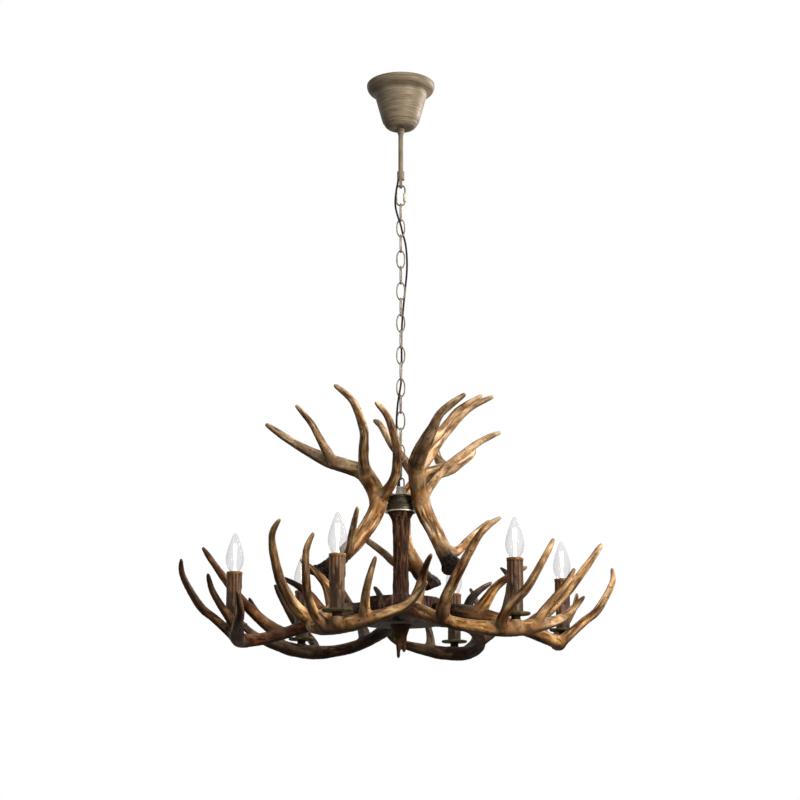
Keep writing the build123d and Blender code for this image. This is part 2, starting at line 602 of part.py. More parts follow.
# ================================================================ antlers
with BuildPart() as lower_antler:
    for sides, stations in LOWER_BRANCHES.values():
        grow(stations, sides, HUB_LEVEL)
    with Locations((CANDLE_RING_RADIUS, 0, BOSS_TOP)):
        Cylinder(BOSS_DIAMETER / 2, BOSS_RISE, align=(Align.CENTER, Align.CENTER, Align.MAX))
    with Locations((0, 0, HUB_LEVEL)):
        Cylinder(hub_radius, 2 * HUB_HEIGHT, mode=Mode.SUBTRACT)
    with Locations(facing_out(hub_radius, ROOT_AZIMUTH, HUB_LEVEL)):
        Cylinder(STUD_DIAMETER / 2 + FIT_GAP, 2 * (STUD_OUTSIDE + FIT_GAP), mode=Mode.SUBTRACT)
    with Locations((CANDLE_RING_RADIUS, 0, BOSS_TOP)):
        Cylinder(
            NIPPLE_DIAMETER / 2 + FIT_GAP, NIPPLE_BELOW + FIT_GAP,
            align=(Align.CENTER, Align.CENTER, Align.MAX), mode=Mode.SUBTRACT,
        )
        Cylinder(
            CANDLE_RING_RADIUS / 10, 20, align=(Align.CENTER, Align.CENTER, Align.MIN),
            mode=Mode.SUBTRACT,
        )
for number, azimuth in enumerate(LOWER_AZIMUTHS, 1):
    keep(lower_antler.part.rotate(Axis.Z, azimuth), f"lower_antler_{number}")


def upper_antler(branches):
    """Upper antler with these branches, seated on the collar at +X."""
    with BuildPart() as antler:
        for sides, stations in branches.values():
            grow(stations, sides, COLLAR_LEVEL)
        with Locations((0, 0, COLLAR_LEVEL)):
            Cylinder(collar_radius, 4 * COLLAR_HEIGHT, mode=Mode.SUBTRACT)
        with Locations(facing_out(collar_radius, SEAT_AZIMUTH, COLLAR_LEVEL)):
            Cylinder(
                UPPER_STUD_DIAMETER / 2 + FIT_GAP, 2 * (UPPER_STUD_DEPTH + FIT_GAP), mode=Mode.SUBTRACT
            )
    return antler.part


for number, azimuth in enumerate(UPPER_AZIMUTHS, 1):
    branches = REAR_BRANCHES if number == REAR_NUMBER else UPPER_BRANCHES
    keep(upper_antler(branches).rotate(Axis.Z, azimuth), f"upper_antler_{number}")

with BuildPart() as arm_studs:
    for azimuth in LOWER_AZIMUTHS:
        with Locations(facing_out(hub_radius + STUD_OUTSIDE, azimuth + ROOT_AZIMUTH, HUB_LEVEL)):
            Cylinder(
                STUD_DIAMETER / 2, STUD_OUTSIDE + HUB_WALL + STUD_INSIDE,
                align=(Align.CENTER, Align.CENTER, Align.MAX),
            )
keep(arm_studs.part, "arm_studs")

nut_corner = STUD_NUT_FLATS / 2 / cos(radians(30))
nut_face = sqrt((hub_radius - HUB_WALL) ** 2 - nut_corner ** 2)  # the corners touch the round wall
with BuildPart() as arm_nuts:
    for azimuth in LOWER_AZIMUTHS:
        with BuildSketch(facing_out(nut_face, azimuth + ROOT_AZIMUTH, HUB_LEVEL)):
            RegularPolygon(STUD_NUT_FLATS / 2, 6, major_radius=False)
            Circle(STUD_DIAMETER / 2 + FIT_GAP, mode=Mode.SUBTRACT)
        extrude(amount=-STUD_NUT_HEIGHT)
keep(arm_nuts.part, "arm_nuts")

with BuildPart() as upper_studs:
    for azimuth in UPPER_AZIMUTHS:
        with Locations(facing_out(collar_radius, azimuth + SEAT_AZIMUTH, COLLAR_LEVEL)):
            Cylinder(UPPER_STUD_DIAMETER / 2, 2 * UPPER_STUD_DEPTH)
keep(upper_studs.part, "upper_studs")

# ================================================================ candles
plate_low = BOSS_TOP + SPACER_HEIGHT
plate_top = plate_low + PLATE_THICKNESS
sleeve_top = plate_top + SLEEVE_HEIGHT
holder_top = sleeve_top - HOLDER_SHORTFALL
with BuildPart() as plate_spacers:
    with BuildSketch(Plane.XY.offset(BOSS_TOP)):
        with Locations(CANDLES):
            Circle(SPACER_DIAMETER / 2)
            Circle(NIPPLE_DIAMETER / 2 + FIT_GAP, mode=Mode.SUBTRACT)
    extrude(amount=SPACER_HEIGHT)
keep(plate_spacers.part, "plate_spacers")

with BuildPart() as drip_plates:
    with BuildSketch(Plane.XY.offset(plate_low)):
        with Locations(CANDLES):
            Circle(PLATE_DIAMETER / 2)
    extrude(amount=PLATE_THICKNESS + PLATE_RIM, taper=0)
    with BuildSketch(Plane.XY.offset(plate_top)):
        with Locations(CANDLES):
            Circle(PLATE_DIAMETER / 2 - 2 * PLATE_RIM)
    extrude(amount=PLATE_RIM, mode=Mode.SUBTRACT)
    with BuildSketch(Plane.XY.offset(plate_low)):
        with Locations(CANDLES):
            Circle(NIPPLE_DIAMETER / 2 + FIT_GAP)
    extrude(amount=PLATE_THICKNESS, mode=Mode.SUBTRACT)
keep(drip_plates.part, "drip_plates")

with BuildPart() as candle_nipples:
    with BuildSketch(Plane.XY.offset(BOSS_TOP - NIPPLE_BELOW)):
        with Locations(CANDLES):
            Circle(NIPPLE_DIAMETER / 2)
            Circle(NIPPLE_BORE / 2, mode=Mode.SUBTRACT)
    extrude(amount=plate_top + NIPPLE_ABOVE - BOSS_TOP + NIPPLE_BELOW)
keep(candle_nipples.part, "candle_nipples")

with BuildPart() as lampholders:
    with BuildSketch(Plane.XY.offset(plate_top)):
        with Locations(CANDLES):
            Circle(HOLDER_DIAMETER / 2)
    extrude(amount=holder_top - plate_top)
    with BuildSketch(Plane.XY.offset(plate_top)):
        with Locations(CANDLES):
            Circle(NIPPLE_DIAMETER / 2 + FIT_GAP)
    extrude(amount=NIPPLE_ABOVE + FIT_GAP, mode=Mode.SUBTRACT)
    with BuildSketch(Plane.XY.offset(holder_top)):
        with Locations(CANDLES):
            Circle(CAP_DIAMETER / 2 + FIT_GAP)
    extrude(amount=-CAP_LENGTH - 2 * SEAT_GAP, mode=Mode.SUBTRACT)
keep(lampholders.part, "lampholders")

# Wax runs down the sleeve: azimuth on the candle and how far below the top the run ends.
DRIPS = [(20, 55), (75, 26), (130, 72), (185, 40), (245, 88), (300, 33)]
with BuildPart() as candle_sleeves:
    with BuildSketch(Plane.XY.offset(plate_top)):
        with Locations(CANDLES):
            Circle(SLEEVE_DIAMETER / 2 - 0.8)
    extrude(amount=SLEEVE_HEIGHT)
    for azimuth, run in DRIPS:
        with BuildSketch(Plane.XY.offset(sleeve_top)):
            with Locations(CANDLES):
                with Locations(polar(SLEEVE_DIAMETER / 2 - DRIP_DIAMETER / 2 + 0.6, azimuth)[:2]):
                    RegularPolygon(DRIP_DIAMETER / 2, 8)
        extrude(amount=-run)
    with BuildSketch(Plane.XY.offset(plate_top)):
        with Locations(CANDLES):
            Circle(SLEEVE_BORE / 2)
    extrude(amount=SLEEVE_HEIGHT, mode=Mode.SUBTRACT)
keep(candle_sleeves.part, "candle_sleeves")

# ================================================================ bulbs
# Height over the glass's foot and diameter, as shares of the bulb's length and diameter.
BULB_PROFILE = [(0, 0.44), (0.07, 0.6), (0.18, 0.87), (0.31, 1.0), (0.46, 0.96), (0.64, 0.75),
                (0.82, 0.43), (0.95, 0.2), (1.0, 0.07)]
glass_foot = holder_top + SEAT_GAP


def glass_body(profile, inset, mode):
    """Adds or cuts the bulb's candle shape, this much smaller all round."""
    steps = [(share * (BULB_LENGTH - 2 * inset), width * BULB_DIAMETER / 2 - inset)
             for share, width in profile]
    for (low, wide), (high, narrow) in zip(steps, steps[1:]):
        with BuildSketch(Plane.XY.offset(glass_foot + inset + low)) as section:
            RegularPolygon(wide, BULB_SIDES)
        lean = degrees(atan2((wide - narrow) * cos(pi / BULB_SIDES), high - low))
        extrude(section.sketch, amount=high - low, taper=lean, mode=mode)


with BuildPart() as glass:
    glass_body(BULB_PROFILE, 0, Mode.ADD)
    glass_body(BULB_PROFILE[:-1], BULB_WALL, Mode.SUBTRACT)

with BuildPart() as cap:
    with BuildSketch(Plane.XY.offset(glass_foot)):
        RegularPolygon(CAP_DIAMETER / 2, BULB_SIDES)
    extrude(amount=-CAP_LENGTH + 5)
    with BuildSketch(Plane.XY.offset(glass_foot - CAP_LENGTH + 5)):
        RegularPolygon(CAP_DIAMETER / 2, BULB_SIDES)
    extrude(amount=-5, taper=35)

stem_height = 0.3 * BULB_LENGTH
with BuildPart() as filaments:
    with BuildSketch(Plane.XY.offset(glass_foot + BULB_WALL)):
        RegularPolygon(3, 8)
    extrude(amount=stem_height)
    with BuildSketch(Plane.XY.offset(glass_foot + BULB_WALL + stem_height - FILAMENT_WIDTH)):
        Rectangle(3 * FILAMENT_WIDTH, 3 * FILAMENT_WIDTH)
    extrude(amount=FILAMENT_WIDTH)
    with BuildSketch(Plane.XY.offset(glass_foot + BULB_WALL + stem_height)):
        with PolarLocations(2.2 * FILAMENT_WIDTH / 2, FILAMENT_COUNT):
            Rectangle(FILAMENT_WIDTH, FILAMENT_WIDTH)
    extrude(amount=FILAMENT_LENGTH)

for number, place in enumerate(CANDLES, 1):
    keep(glass.part.moved(place), f"bulb_glass_{number}")
    keep(cap.part.moved(place), f"bulb_cap_{number}")
    keep(filaments.part.moved(place), f"bulb_filaments_{number}")

# ================================================================ supply cord
corners = [Vector(*point) for point in CORD_ROUTE]
radii = []
for before, corner, after in zip(corners, corners[1:], corners[2:]):
    turn = (corner - before).get_angle(after - corner)
    shorter = min((corner - before).length, (after - corner).length)
    radii.append(0.45 * shorter / tan(radians(turn / 2)))
print("cord radii", [round(radius) for radius in radii])
with BuildPart() as supply_cord:
    with BuildLine() as route:
        FilletPolyline(*corners, radius=radii)
    with BuildSketch(Plane(route.line @ 0, z_dir=route.line % 0)):
        Circle(CORD_DIAMETER / 2)
    sweep()
cord_length = sum(edge.length for edge in route.edges())
straight_volume = pi * (CORD_DIAMETER / 2) ** 2 * cord_length
print("cord length", round(cord_length, 1))
print("cord volume over section times length", round(supply_cord.part.volume / straight_volume, 4))
keep(supply_cord.part, "supply_cord")
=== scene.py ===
"""Looks of an antler chandelier: antlers, bark column, chain, canopy, candles and bulbs.

Metres, +Z up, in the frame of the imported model. The origin is on the ceiling, so heights are
negative. Tables of stations are in millimetres. Each operator makes a group of like pieces.
"""

from math import cos, pi, radians, sin

import bmesh
import bpy
from mathutils import Matrix, Vector, kdtree, noise


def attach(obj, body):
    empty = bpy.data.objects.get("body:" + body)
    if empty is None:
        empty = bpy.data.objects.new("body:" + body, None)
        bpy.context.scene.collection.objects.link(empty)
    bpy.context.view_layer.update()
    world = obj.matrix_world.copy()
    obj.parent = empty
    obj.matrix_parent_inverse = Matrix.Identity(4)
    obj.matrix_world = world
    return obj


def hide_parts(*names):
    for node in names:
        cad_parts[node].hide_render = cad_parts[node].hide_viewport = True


bl_info = {
    "name": "Antler chandelier",
    "version": (1, 1, 0),
    "blender": (4, 5, 0),
    "location": "View3D > Sidebar > Chandelier",
    "description": "Builds the pieces of an antler chandelier round its fixed frame",
    "category": "Object",
}

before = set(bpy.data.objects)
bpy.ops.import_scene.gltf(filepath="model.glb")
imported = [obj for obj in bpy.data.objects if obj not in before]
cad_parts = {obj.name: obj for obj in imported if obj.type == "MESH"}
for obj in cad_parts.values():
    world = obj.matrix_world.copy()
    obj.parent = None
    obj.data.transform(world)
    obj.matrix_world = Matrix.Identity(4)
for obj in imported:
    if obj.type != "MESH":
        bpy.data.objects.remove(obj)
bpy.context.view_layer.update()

MM = 0.001
BODY = "chandelier"
LOWER_AZIMUTHS = [9.58 + 60 * index for index in range(6)]
UPPER_AZIMUTHS = [-50.42 + 120 * index for index in range(3)]
REAR_NUMBER = 2
CANDLE_RADIUS = 319.0
HUB_LEVEL = -1085.0
COLLAR_LEVEL = -872.0

# Each station is x, y, height over the antler's own level, and diameter.
LOWER_BRANCHES = [
    [(57, -43, 0, 36), (104, -72, -4, 32), (165, -90, -15, 27), (215, -88, -32, 24),
     (262, -69, -45.5, 24), (300, -29, -52, 28), (313, 20, -49, 29), (316, 66, -40, 24),
     (318, 104, -30, 19), (316, 134, -16, 15), (325, 169, 18, 5)],
    [(222, -88, -32, 20), (246, -106, -14, 23), (274, -116, 12, 21), (307, -119, 47, 18),
     (353, -111, 105, 13), (376, -85, 132, 6)],
    [(306, -25, -52, 19), (325, -37, -34, 18), (352, -38, -11, 17), (382, -31, 13, 16),
     (415, -18, 66, 12), (420, -2, 97, 6)],
    [(315, 52, -43, 18), (329, 56, -21, 17), (348, 66, 3, 15), (366, 81, 31, 12),
     (375, 94, 58, 6)],
    [(130, -82, -8, 23), (150, -83, 20, 21), (167, -88, 45, 17), (194, -101, 66, 12),
     (222, -113, 81, 6)],
    [(318, 0, -53, 14), (319, 0, -47, 19), (319, 0, -35, 20)],
]
UPPER_BRANCHES = [
    [(158, -6, -145, 40), (156, -5, -140, 42), (150, -3, -135, 35), (145, 0, -131, 32),
     (118, 10, -108, 31), (80, 21, -66, 31), (54, 17, -25, 33), (47, 10, 8, 35), (66, -17, 58, 33),
     (98, -36, 77, 31), (134, -54, 91, 28), (175, -68, 113, 21), (211, -77, 135, 16),
     (260, -62, 163, 7.6)],
    [(47, 10, 2, 22), (34, 32, 18, 21), (22, 58, 41, 19), (22, 85, 70, 18), (28, 113, 95, 17),
     (52, 161, 136, 14), (80, 193, 156, 7.6)],
    [(64, -15, 54, 20), (74, 6, 80, 21), (77, 26, 108, 20), (81, 48, 136, 18), (107, 82, 182, 14),
     (147, 113, 205, 7.6)],
    [(128, -50, 88, 18), (145, -29, 110, 18), (160, -18, 132, 15), (177, -5, 156, 13),
     (210, 26, 183, 7)],
    [(112, 12, -102, 22), (108, 42, -102, 19), (107, 62, -91, 16), (107, 78, -76, 15),
     (104, 138, -31, 7)],
]
# The rear antler has a shorter inner tine.
REAR_BRANCHES = [
    UPPER_BRANCHES[0],
    [(45, 10, 2, 24), (32, 32, 18, 21), (20, 58, 41, 17), (22, 82, 62, 11), (26, 96, 72, 6)],
    *UPPER_BRANCHES[2:],
]
FINIAL_LEVEL = -1106.0
FINIAL_BRANCHES = [
    [(0, 0, -0.5, 43), (0, 0, -8, 33), (1, 0, -20, 22), (-1, 0, -32, 15), (-2, 0, -38, 12)],
    [(-1, -1, -24, 14), (-4, -2, -40, 10), (-4.5, -2, -52, 7), (-4.5, -2, -62.5, 5)],
    [(3, 0, -18, 14), (6, -1, -32, 10), (6, -2, -51.5, 5)],
    [(1, 3, -15, 13), (3, 9, -30, 9), (2, 11, -42, 5)],
    [(-6, 2, -6, 16), (-13, 3, -17, 9), (-15, 2, -25, 4)],
]
# The lower antlers' stains, from the first round to the sixth. The umber ones, the second and
# third at the back, and the russet fourth on the left are the brown stain darkened as
# painted shade.
LOWER_STAINS_AND_SHADE = ("antler", "umber", "umber", "russet", "antler", "antler")
# Bark covers an antler near its root: x, y, height and reach.
LOWER_BARK = (70, -48, HUB_LEVEL, 82)
UPPER_BARK = (160, -6, COLLAR_LEVEL - 147, 82)
FINIAL_BARK = (0, 0, FINIAL_LEVEL, 26)

# Points of a branch's line from one station to the next.
STATION_STEPS = 6
# A tine flares by this share where it leaves its beam, over so many points of its line.
FLARE = 0.45
FLARE_STEPS = 10
# A branch that ends thinner than this radius is a tine, and is rounded by this power at its tip.
BLUNT_RADIUS = 4
TIP_ROUNDING = 1.9
# How close an antler's grooves lie round a tine, and along it to a metre, its lumps with their
# shares, and the pits in its bark. Relief is full on a branch that is this thick.
GROOVES_ROUND = 4.5
GROOVES_ALONG = 9
LUMPS = ((38, 0.55), (90, 0.3))
PITS = 190
FULL_RELIEF = 26
# Seed of the ridges in the bark, which would change with the clock without one.
NOISE_SEED = 1795551458
# How steeply bark ends, how far a fork's worn coat reaches, and the width over which it fades.
BARK_EDGE = 1.6
FORK_REACH = 33
FORK_FADE = 18

# The supply cord's route from the stem's coupling to the neck.
CORD_POINTS = [
    (-5.4, -1.4, -206.5), (-5.4, -1.4, -210.5), (-7.6, -6.2, -222), (-10.2, -7.4, -240),
    (-11.8, -7.2, -263), (-6.6, -7.0, -286), (-0.6, -4.9, -301.5), (3.6, 4.5, -319),
    (9.6, 8.0, -338), (12.4, 8.6, -366), (12.6, 9.4, -396), (9.6, 11.0, -427), (6.0, 12.2, -462),
    (2.6, 13.0, -500), (1.2, 13.8, -540), (1.8, 13.2, -578), (1.0, 13.4, -610), (0.6, 10.6, -629),
    (-2.4, -7.2, -651), (-6.4, -9.8, -676), (-8.6, -9.6, -708), (-8.4, -9.2, -744),
    (-7.2, -9.8, -778), (-6.2, -9.2, -805), (-4.0, -7.4, -821), (-2.9, -5.6, -830),
    (-2.9, -5.6, -838.5),
]

# Bulb outline: share of the length over the cap, share of the widest diameter.
BULB_OUTLINE = [(0, 0.44), (0.06, 0.62), (0.14, 0.82), (0.24, 0.95), (0.36, 1.0), (0.5, 0.9),
                (0.64, 0.73), (0.78, 0.53), (0.9, 0.34), (0.97, 0.18), (1.0, 0.04)]
# Lathed outlines of (radius, height). Those of a candle are heights over its spacer's foot.
ROD_HOLE = 5.2
HUB_TOP = -1056
HUB_FOOT = -1103
COLUMN_OUTLINE = [
    (15.8, HUB_TOP), (17.6, -1050), (16, -1042), (15.2, -1010), (14.8, -985), (15.2, -950),
    (16.2, -915), (18.5, -902), (23, -893), (26.5, -889.2)]
NECK_OUTLINE = [
    (0.2, -838.5), (9, -838.5), (9, -842), (8.3, -843), (9, -844.5), (9, -848), (12, -853.5),
    (12, -856.5), (5.2, -856.5), (5.2, -847.5), (0.2, -847.5)]
COLLAR_OUTLINE = [
    (5.2, -856.5), (24.6, -856.5), (26.8, -858.2), (27.2, -861.5), (26.2, -862.6),
    (26.3, -864.2), (27.6, -865.3), (28.2, -872.5), (27.3, -873.4), (27.4, -874.8), (28.6, -876),
    (28.8, -878.5), (30, -880.5), (30, -886.5), (26, -886.5), (24, -860.5), (5.2, -860.5)]
CANOPY_WALL = [
    (58.6, -19.2), (54.2, -21.6), (53.2, -23.6), (38.6, -77.5), (36.9, -82.6), (35.4, -84.0),
    (34.4, -86.6), (31.6, -90.6), (27.6, -94.2), (22, -96.5), (5.2, -96.5), (5.2, -95),
    (21.5, -95), (27, -92.6), (33, -86), (37.2, -77.5), (52, -22), (66.5, -9), (67.6, -5)]
STUB_OUTLINE = [(5.1, 0), (8.4, 0), (9, 1.5), (8, 4), (9, 6.6), (9, 8), (5.1, 8)]
DISH_TOP = 11.5
DISH_OUTLINE = [(5.1, 8), (24, 8), (26.5, 9.6), (26.5, 12.4), (25.6, 13.1), (24.4, 12.9),
                (22.8, 11.7), (5.1, DISH_TOP)]
# Glass stem in a bulb, heights over the cap. Then the glass wall, and the pitch of the thread.
LAMP_STEM = [(0.2, 1.2), (4.8, 1.2), (3, 7), (2.2, 14), (2, 21), (2.8, 23.5), (1, 24.5),
             (0.2, 24.5)]
GLASS_WALL = 0.8
THREAD_PITCH = 3.2
# Every second link of the chain is turned by so many degrees.
LINK_TURN = 81
# Wax runs on a candle: azimuth, length below the rim in millimetres, width in degrees.
WAX_RUNS = [
    (20, 55, 22), (52, 38, 16), (75, 26, 18), (104, 60, 15), (130, 72, 22), (160, 30, 16),
    (185, 40, 20), (216, 66, 15), (245, 88, 22), (274, 48, 16), (300, 33, 18), (336, 70, 16)]
# A run's half width as a share of its row's, and the melted rim's height, edge and share of lift.
RUN_SPREAD = 0.62
RIM_HEIGHT = 8
RIM_FADE = 2.5
RIM_LIFT = 1.05
# What lies inside this radius is the sleeve's bore, and takes no wax.
INNER_WALL = 12.9
# Shades of the stain, from its darkest streaks to bare resin. The russet and umber ones are the
# brown stain darkened as painted shade, for the arms that stand in shade.
BROWN_SHADES = ("#5e320e", "#8d5d28", "#b58848", "#d8b887")
SHADED_RUSSET_SHADES = ("#280e03", "#4c230b", "#683c1a", "#8c6342")
SHADED_UMBER_SHADES = ("#090402", "#1f0f08", "#372013", "#70503b")
PALE_SHADES = ("#8d5a2a", "#bd8f58", "#d9b88a", "#eedcc0")
CAMERA_PLACE = (-0.0016, -3.3, -1.435)
FLOOR_LEVEL = -2.3
# Each lamp: power in watts, size in metres, place, colour. All of them face LAMP_AIM.
LAMP_AIM = (0, 0, -0.8)
LAMPS = (
    (78.0, 0.7, (1.5, -1.7, -0.5), "#fff6ea"),
    (50.0, 0.5, (1.6, 0.9, 0.1), "#fffaf2"),
    (39.0, 1.0, (0.3, -2.0, 0.9), "#fff8f0"),
)


# ---------------------------------------------------------------- colours and shader nodes
def linear(code):
    """Linear RGBA of a hex sRGB colour."""
    values = [int(code[place:place + 2], 16) / 255 for place in (1, 3, 5)]
    return [v / 12.92 if v <= 0.04045 else ((v + 0.055) / 1.055) ** 2.4 for v in values] + [1.0]


def per_metre(millimetres):
    """Scale of a pattern whose cells are this wide."""
    return 1000 / millimetres


def add(tree, kind, inputs=None, stops=(), out="", **settings):
    """Adds a node with its settings, values or links and colour stops, and gives its output."""
    node = tree.nodes.new("ShaderNode" + kind)
    for key, value in settings.items():
        setattr(node, key, value)
    for key, value in (inputs or {}).items():
        if isinstance(value, bpy.types.NodeSocket):
            tree.links.new(value, node.inputs[key])
        else:
            node.inputs[key].default_value = linear(value) if isinstance(value, str) else value
    if stops:
        elements = node.color_ramp.elements
        while len(elements) < len(stops):
            elements.new(0.5)
        for element, (position, code) in zip(elements, stops):
            element.position = position
            element.color = linear(code) if isinstance(code, str) else list(code)
    return node.outputs[out] if out else next(socket for socket in node.outputs if socket.enabled)


def start(name, **uniform):
    """A new material with these numbers on its shader, its node tree and its Object coordinates."""
    made = bpy.data.materials.new(name)
    made.use_nodes = True
    surface = made.node_tree.nodes["Principled BSDF"]
    for key, value in uniform.items():
        surface.inputs[key.replace("_", " ")].default_value = value
    return made, made.node_tree, add(made.node_tree, "TexCoord", out="Object")


def finish_surface(made, color, rough, *bumps, coats=(), **links):
    """Links a material's coated colour, its roughness, its relief and what else is given.

    Each coat lies over the last: a value, where the coat starts and where it is full, its share,
    its colour and at times its blend. The roughness is a value, where it starts and ends, and the
    roughness at both. Each bump is a height, its depth in millimetres and its strength.
    """
    tree = made.node_tree
    for value, begin, full, share, coat, *blend in coats:
        part = add(tree, "MapRange", {
            "Value": value, "From Min": begin, "From Max": full, "To Max": share})
        color = add(tree, "Mix", {0: part, 6: color, 7: coat}, data_type="RGBA",
                    blend_type=blend[0] if blend else "MIX")
    names = ("Value", "From Min", "From Max", "To Min", "To Max")
    links.update(Base_Color=color, Roughness=add(tree, "MapRange", dict(zip(names, rough))))
    for height, depth, strength in bumps:
        inputs = {"Height": height, "Distance": depth * MM, "Strength": strength}
        if "Normal" in links:
            inputs["Normal"] = links["Normal"]
        links["Normal"] = add(tree, "Bump", inputs)
    surface = tree.nodes["Principled BSDF"]
    for key, socket in links.items():
        tree.links.new(socket, surface.inputs[key.replace("_", " ")])
    return made


def antler_resin(name, shades, stain, painted_shade, age, pale):
    """Cast resin, stained by hand as shed antler.

    The shares say how dark the whole is stained, how much painted shade lies in the undersides,
    how brown the old end is, and how pale the blotches, forks and tips and the painted highlight
    on the upward sides are.

    The eye sees streaks that run with the tine, grey worn forks, rust blotches, small dark pores,
    painted shade in the undersides, a painted highlight on the sides that face up and near-black
    pitted bark at the root.
    """
    made, tree, place = start(name, IOR=1.4, Specular_IOR_Level=0.08)
    flow = add(tree, "Attribute", out="Vector", attribute_name="flow")
    tone, bark, facing, fork = (add(tree, "Attribute", out="Fac", attribute_name=key)
                                for key in ("tone", "bark", "facing", "fork"))
    # Streaks 9 mm wide and 75 mm long fade at a fork. Shades are 24 mm wide, blotches 70 mm.
    along = add(tree, "Mapping", {"Vector": flow, "Scale": (1, 1, 0.12)})
    streak = add(tree, "TexNoise", {"Vector": along, "Scale": per_metre(9), "Detail": 5.0,
                                    "Roughness": 0.6, "Distortion": 0.25})
    streak = add(tree, "Mix", {0: fork, 2: streak, 3: 0.5}, data_type="FLOAT")
    broad = add(tree, "TexNoise", {"Vector": place, "Scale": per_metre(24), "Detail": 4.0,
                                   "Distortion": 0.4})
    blotch = add(tree, "TexNoise", {"Vector": place, "Scale": per_metre(70), "Detail": 4.0,
                                    "Roughness": 0.6, "Distortion": 0.5})
    # Pores are 4 mm wide and about 12 mm apart, and bark is pitted every 6 mm.
    pore, pits = (add(tree, "TexVoronoi", {"Vector": place, "Scale": per_metre(width)})
                  for width in (12, 6))
    # This colour browns the roots and is also the painted shade in the undersides.
    root_brown_and_shade = bpy.context.scene.chandelier_colours.antler_shade
    body, lines, umber, contrast, crust, dark = (
        add(tree, "ValToRGB", {"Fac": value}, stops) for value, stops in (
            (broad, tuple(zip((0.36, 0.47, 0.56, 0.68), shades))),
            (streak, ((0.38, shades[0]), (0.49, shades[1]), (0.6, shades[3]))),
            (streak, ((0.42, "#080301"), (0.62, root_brown_and_shade))),
            (streak, ((0.4, "#6b645c"), (0.5, "#bdb6ac"), (0.6, "#ffffff"))),
            (pits, ((0.25, "#030100"), (0.55, "#0e0604"), (0.85, "#2e201b"))),
            (broad, ((0.35, "#0d0604"), (0.6, "#2c1a0e"), (0.8, "#6a5228")))))
    return finish_surface(
        made, body, (streak, 0.3, 0.75, 0.66, 0.42), (streak, 2.2, 0.9), (pits, 1.6, bark),
        coats=((1.0, 0.0, 1.0, 0.35, lines),
               (blotch, 0.5, 0.62, pale, "#c6ab8c"),
               (fork, 0.2, 1.0, 0.5 * pale, "#c2a993"),
               (blotch, 0.5, 0.34, 0.7, shades[0]),
               (tone, 0.6, 1.0, pale, "#cdb598"),
               # Painted highlight: the sides that face up turn paler.
               (facing, 0.35, 0.95, 0.6 * pale, "#d0bea8"),
               (tone, 0.36, 0.06, age, umber),
               # Painted shade: the sides that face down take the dark umber ramp.
               (facing, -0.3, -0.85, painted_shade, umber),
               (1.0, 0.0, 1.0, 1.0, contrast, "MULTIPLY"),
               (pore, 0.2, 0.12, 0.75, "#2b1507"),
               (bark, 0.0, 1.0, 1.0, crust),
               (1.0, 0.0, 1.0, stain, dark)))


def tree_bark(name, low, middle, high, width):
    """Dried bark of a young trunk: black cracks between fibrous ridges, grey weathered flecks."""
    made, tree, place = start(name, Specular_IOR_Level=0.15)
    ridge = add(tree, "Attribute", out="Fac", attribute_name="ridge")
    upright = add(tree, "Mapping", {"Vector": place, "Scale": (1, 1, 0.14)})
    fibre = add(tree, "TexNoise", {"Vector": upright, "Scale": per_metre(width), "Detail": 7.0,
                                   "Roughness": 0.68, "Distortion": 0.5})
    short = add(tree, "Mapping", {"Vector": place, "Scale": (1, 1, 0.5)})
    fleck = add(tree, "TexNoise", {"Vector": short, "Scale": per_metre(width / 2.4), "Detail": 4.0,
                                   "Roughness": 0.7})
    cut = add(tree, "ValToRGB", {"Fac": ridge}, ((0.3, low), (0.62, middle), (0.92, high)))
    strand = add(tree, "ValToRGB", {"Fac": fibre}, ((0.36, low), (0.52, middle), (0.7, high)))
    return finish_surface(
        made, cut, (fibre, 0.3, 0.7, 0.95, 0.75), (fibre, 2.4, 0.9), (fleck, 0.8, 0.7),
        coats=((1.0, 0.0, 1.0, 0.55, strand), (fleck, 0.58, 0.72, 0.5, "#82705f")))


def brushed_bronze(name, stretch):
    """Spun steel with brushed bronze lacquer: short fine strokes round the piece, patina clouds."""
    middle = bpy.context.scene.chandelier_colours.bronze
    made, tree, place = start(name, Metallic=0.1, Specular_IOR_Level=0.12)
    # Strokes are 3 mm apart and 40 mm long.
    brushed = add(tree, "Mapping", {"Vector": place, "Scale": stretch})
    stroke = add(tree, "TexNoise", {"Vector": brushed, "Scale": per_metre(3.2), "Detail": 4.0,
                                    "Roughness": 0.65})
    cloud = add(tree, "TexNoise", {"Vector": place, "Scale": per_metre(55), "Detail": 3.0,
                                   "Distortion": 0.4})
    color = add(tree, "ValToRGB", {"Fac": stroke}, (
        (0.34, "#51483a"), (0.5, middle), (0.68, "#7a7060")))
    return finish_surface(made, color, (stroke, 0.3, 0.7, 0.62, 0.46), (stroke, 0.1, 0.5),
                          coats=((cloud, 0.55, 0.7, 0.4, "#5f5442"),))


def rubbed_metal(name, shades, rough, grain=11, metallic=0.8, specular=0.5):
    """Plated or painted metal: soft tumbled clouds, rubbed high spots and fine specks."""
    made, tree, place = start(name, Metallic=metallic, Specular_IOR_Level=specular)
    cloud = add(tree, "TexNoise", {"Vector": place, "Scale": per_metre(grain), "Detail": 5.0,
                                   "Roughness": 0.62, "Distortion": 0.3})
    speck = add(tree, "TexNoise", {"Vector": place, "Scale": per_metre(grain / 9), "Detail": 3.0,
                                   "Roughness": 0.6})
    color = add(tree, "ValToRGB", {"Fac": cloud}, tuple(zip((0.3, 0.52, 0.72), shades)))
    return finish_surface(made, color, (cloud, 0.3, 0.7, rough + 0.12, rough - 0.06),
                          (speck, 0.12, 0.5), coats=((speck, 0.5, 0.68, 0.4, shades[0]),))


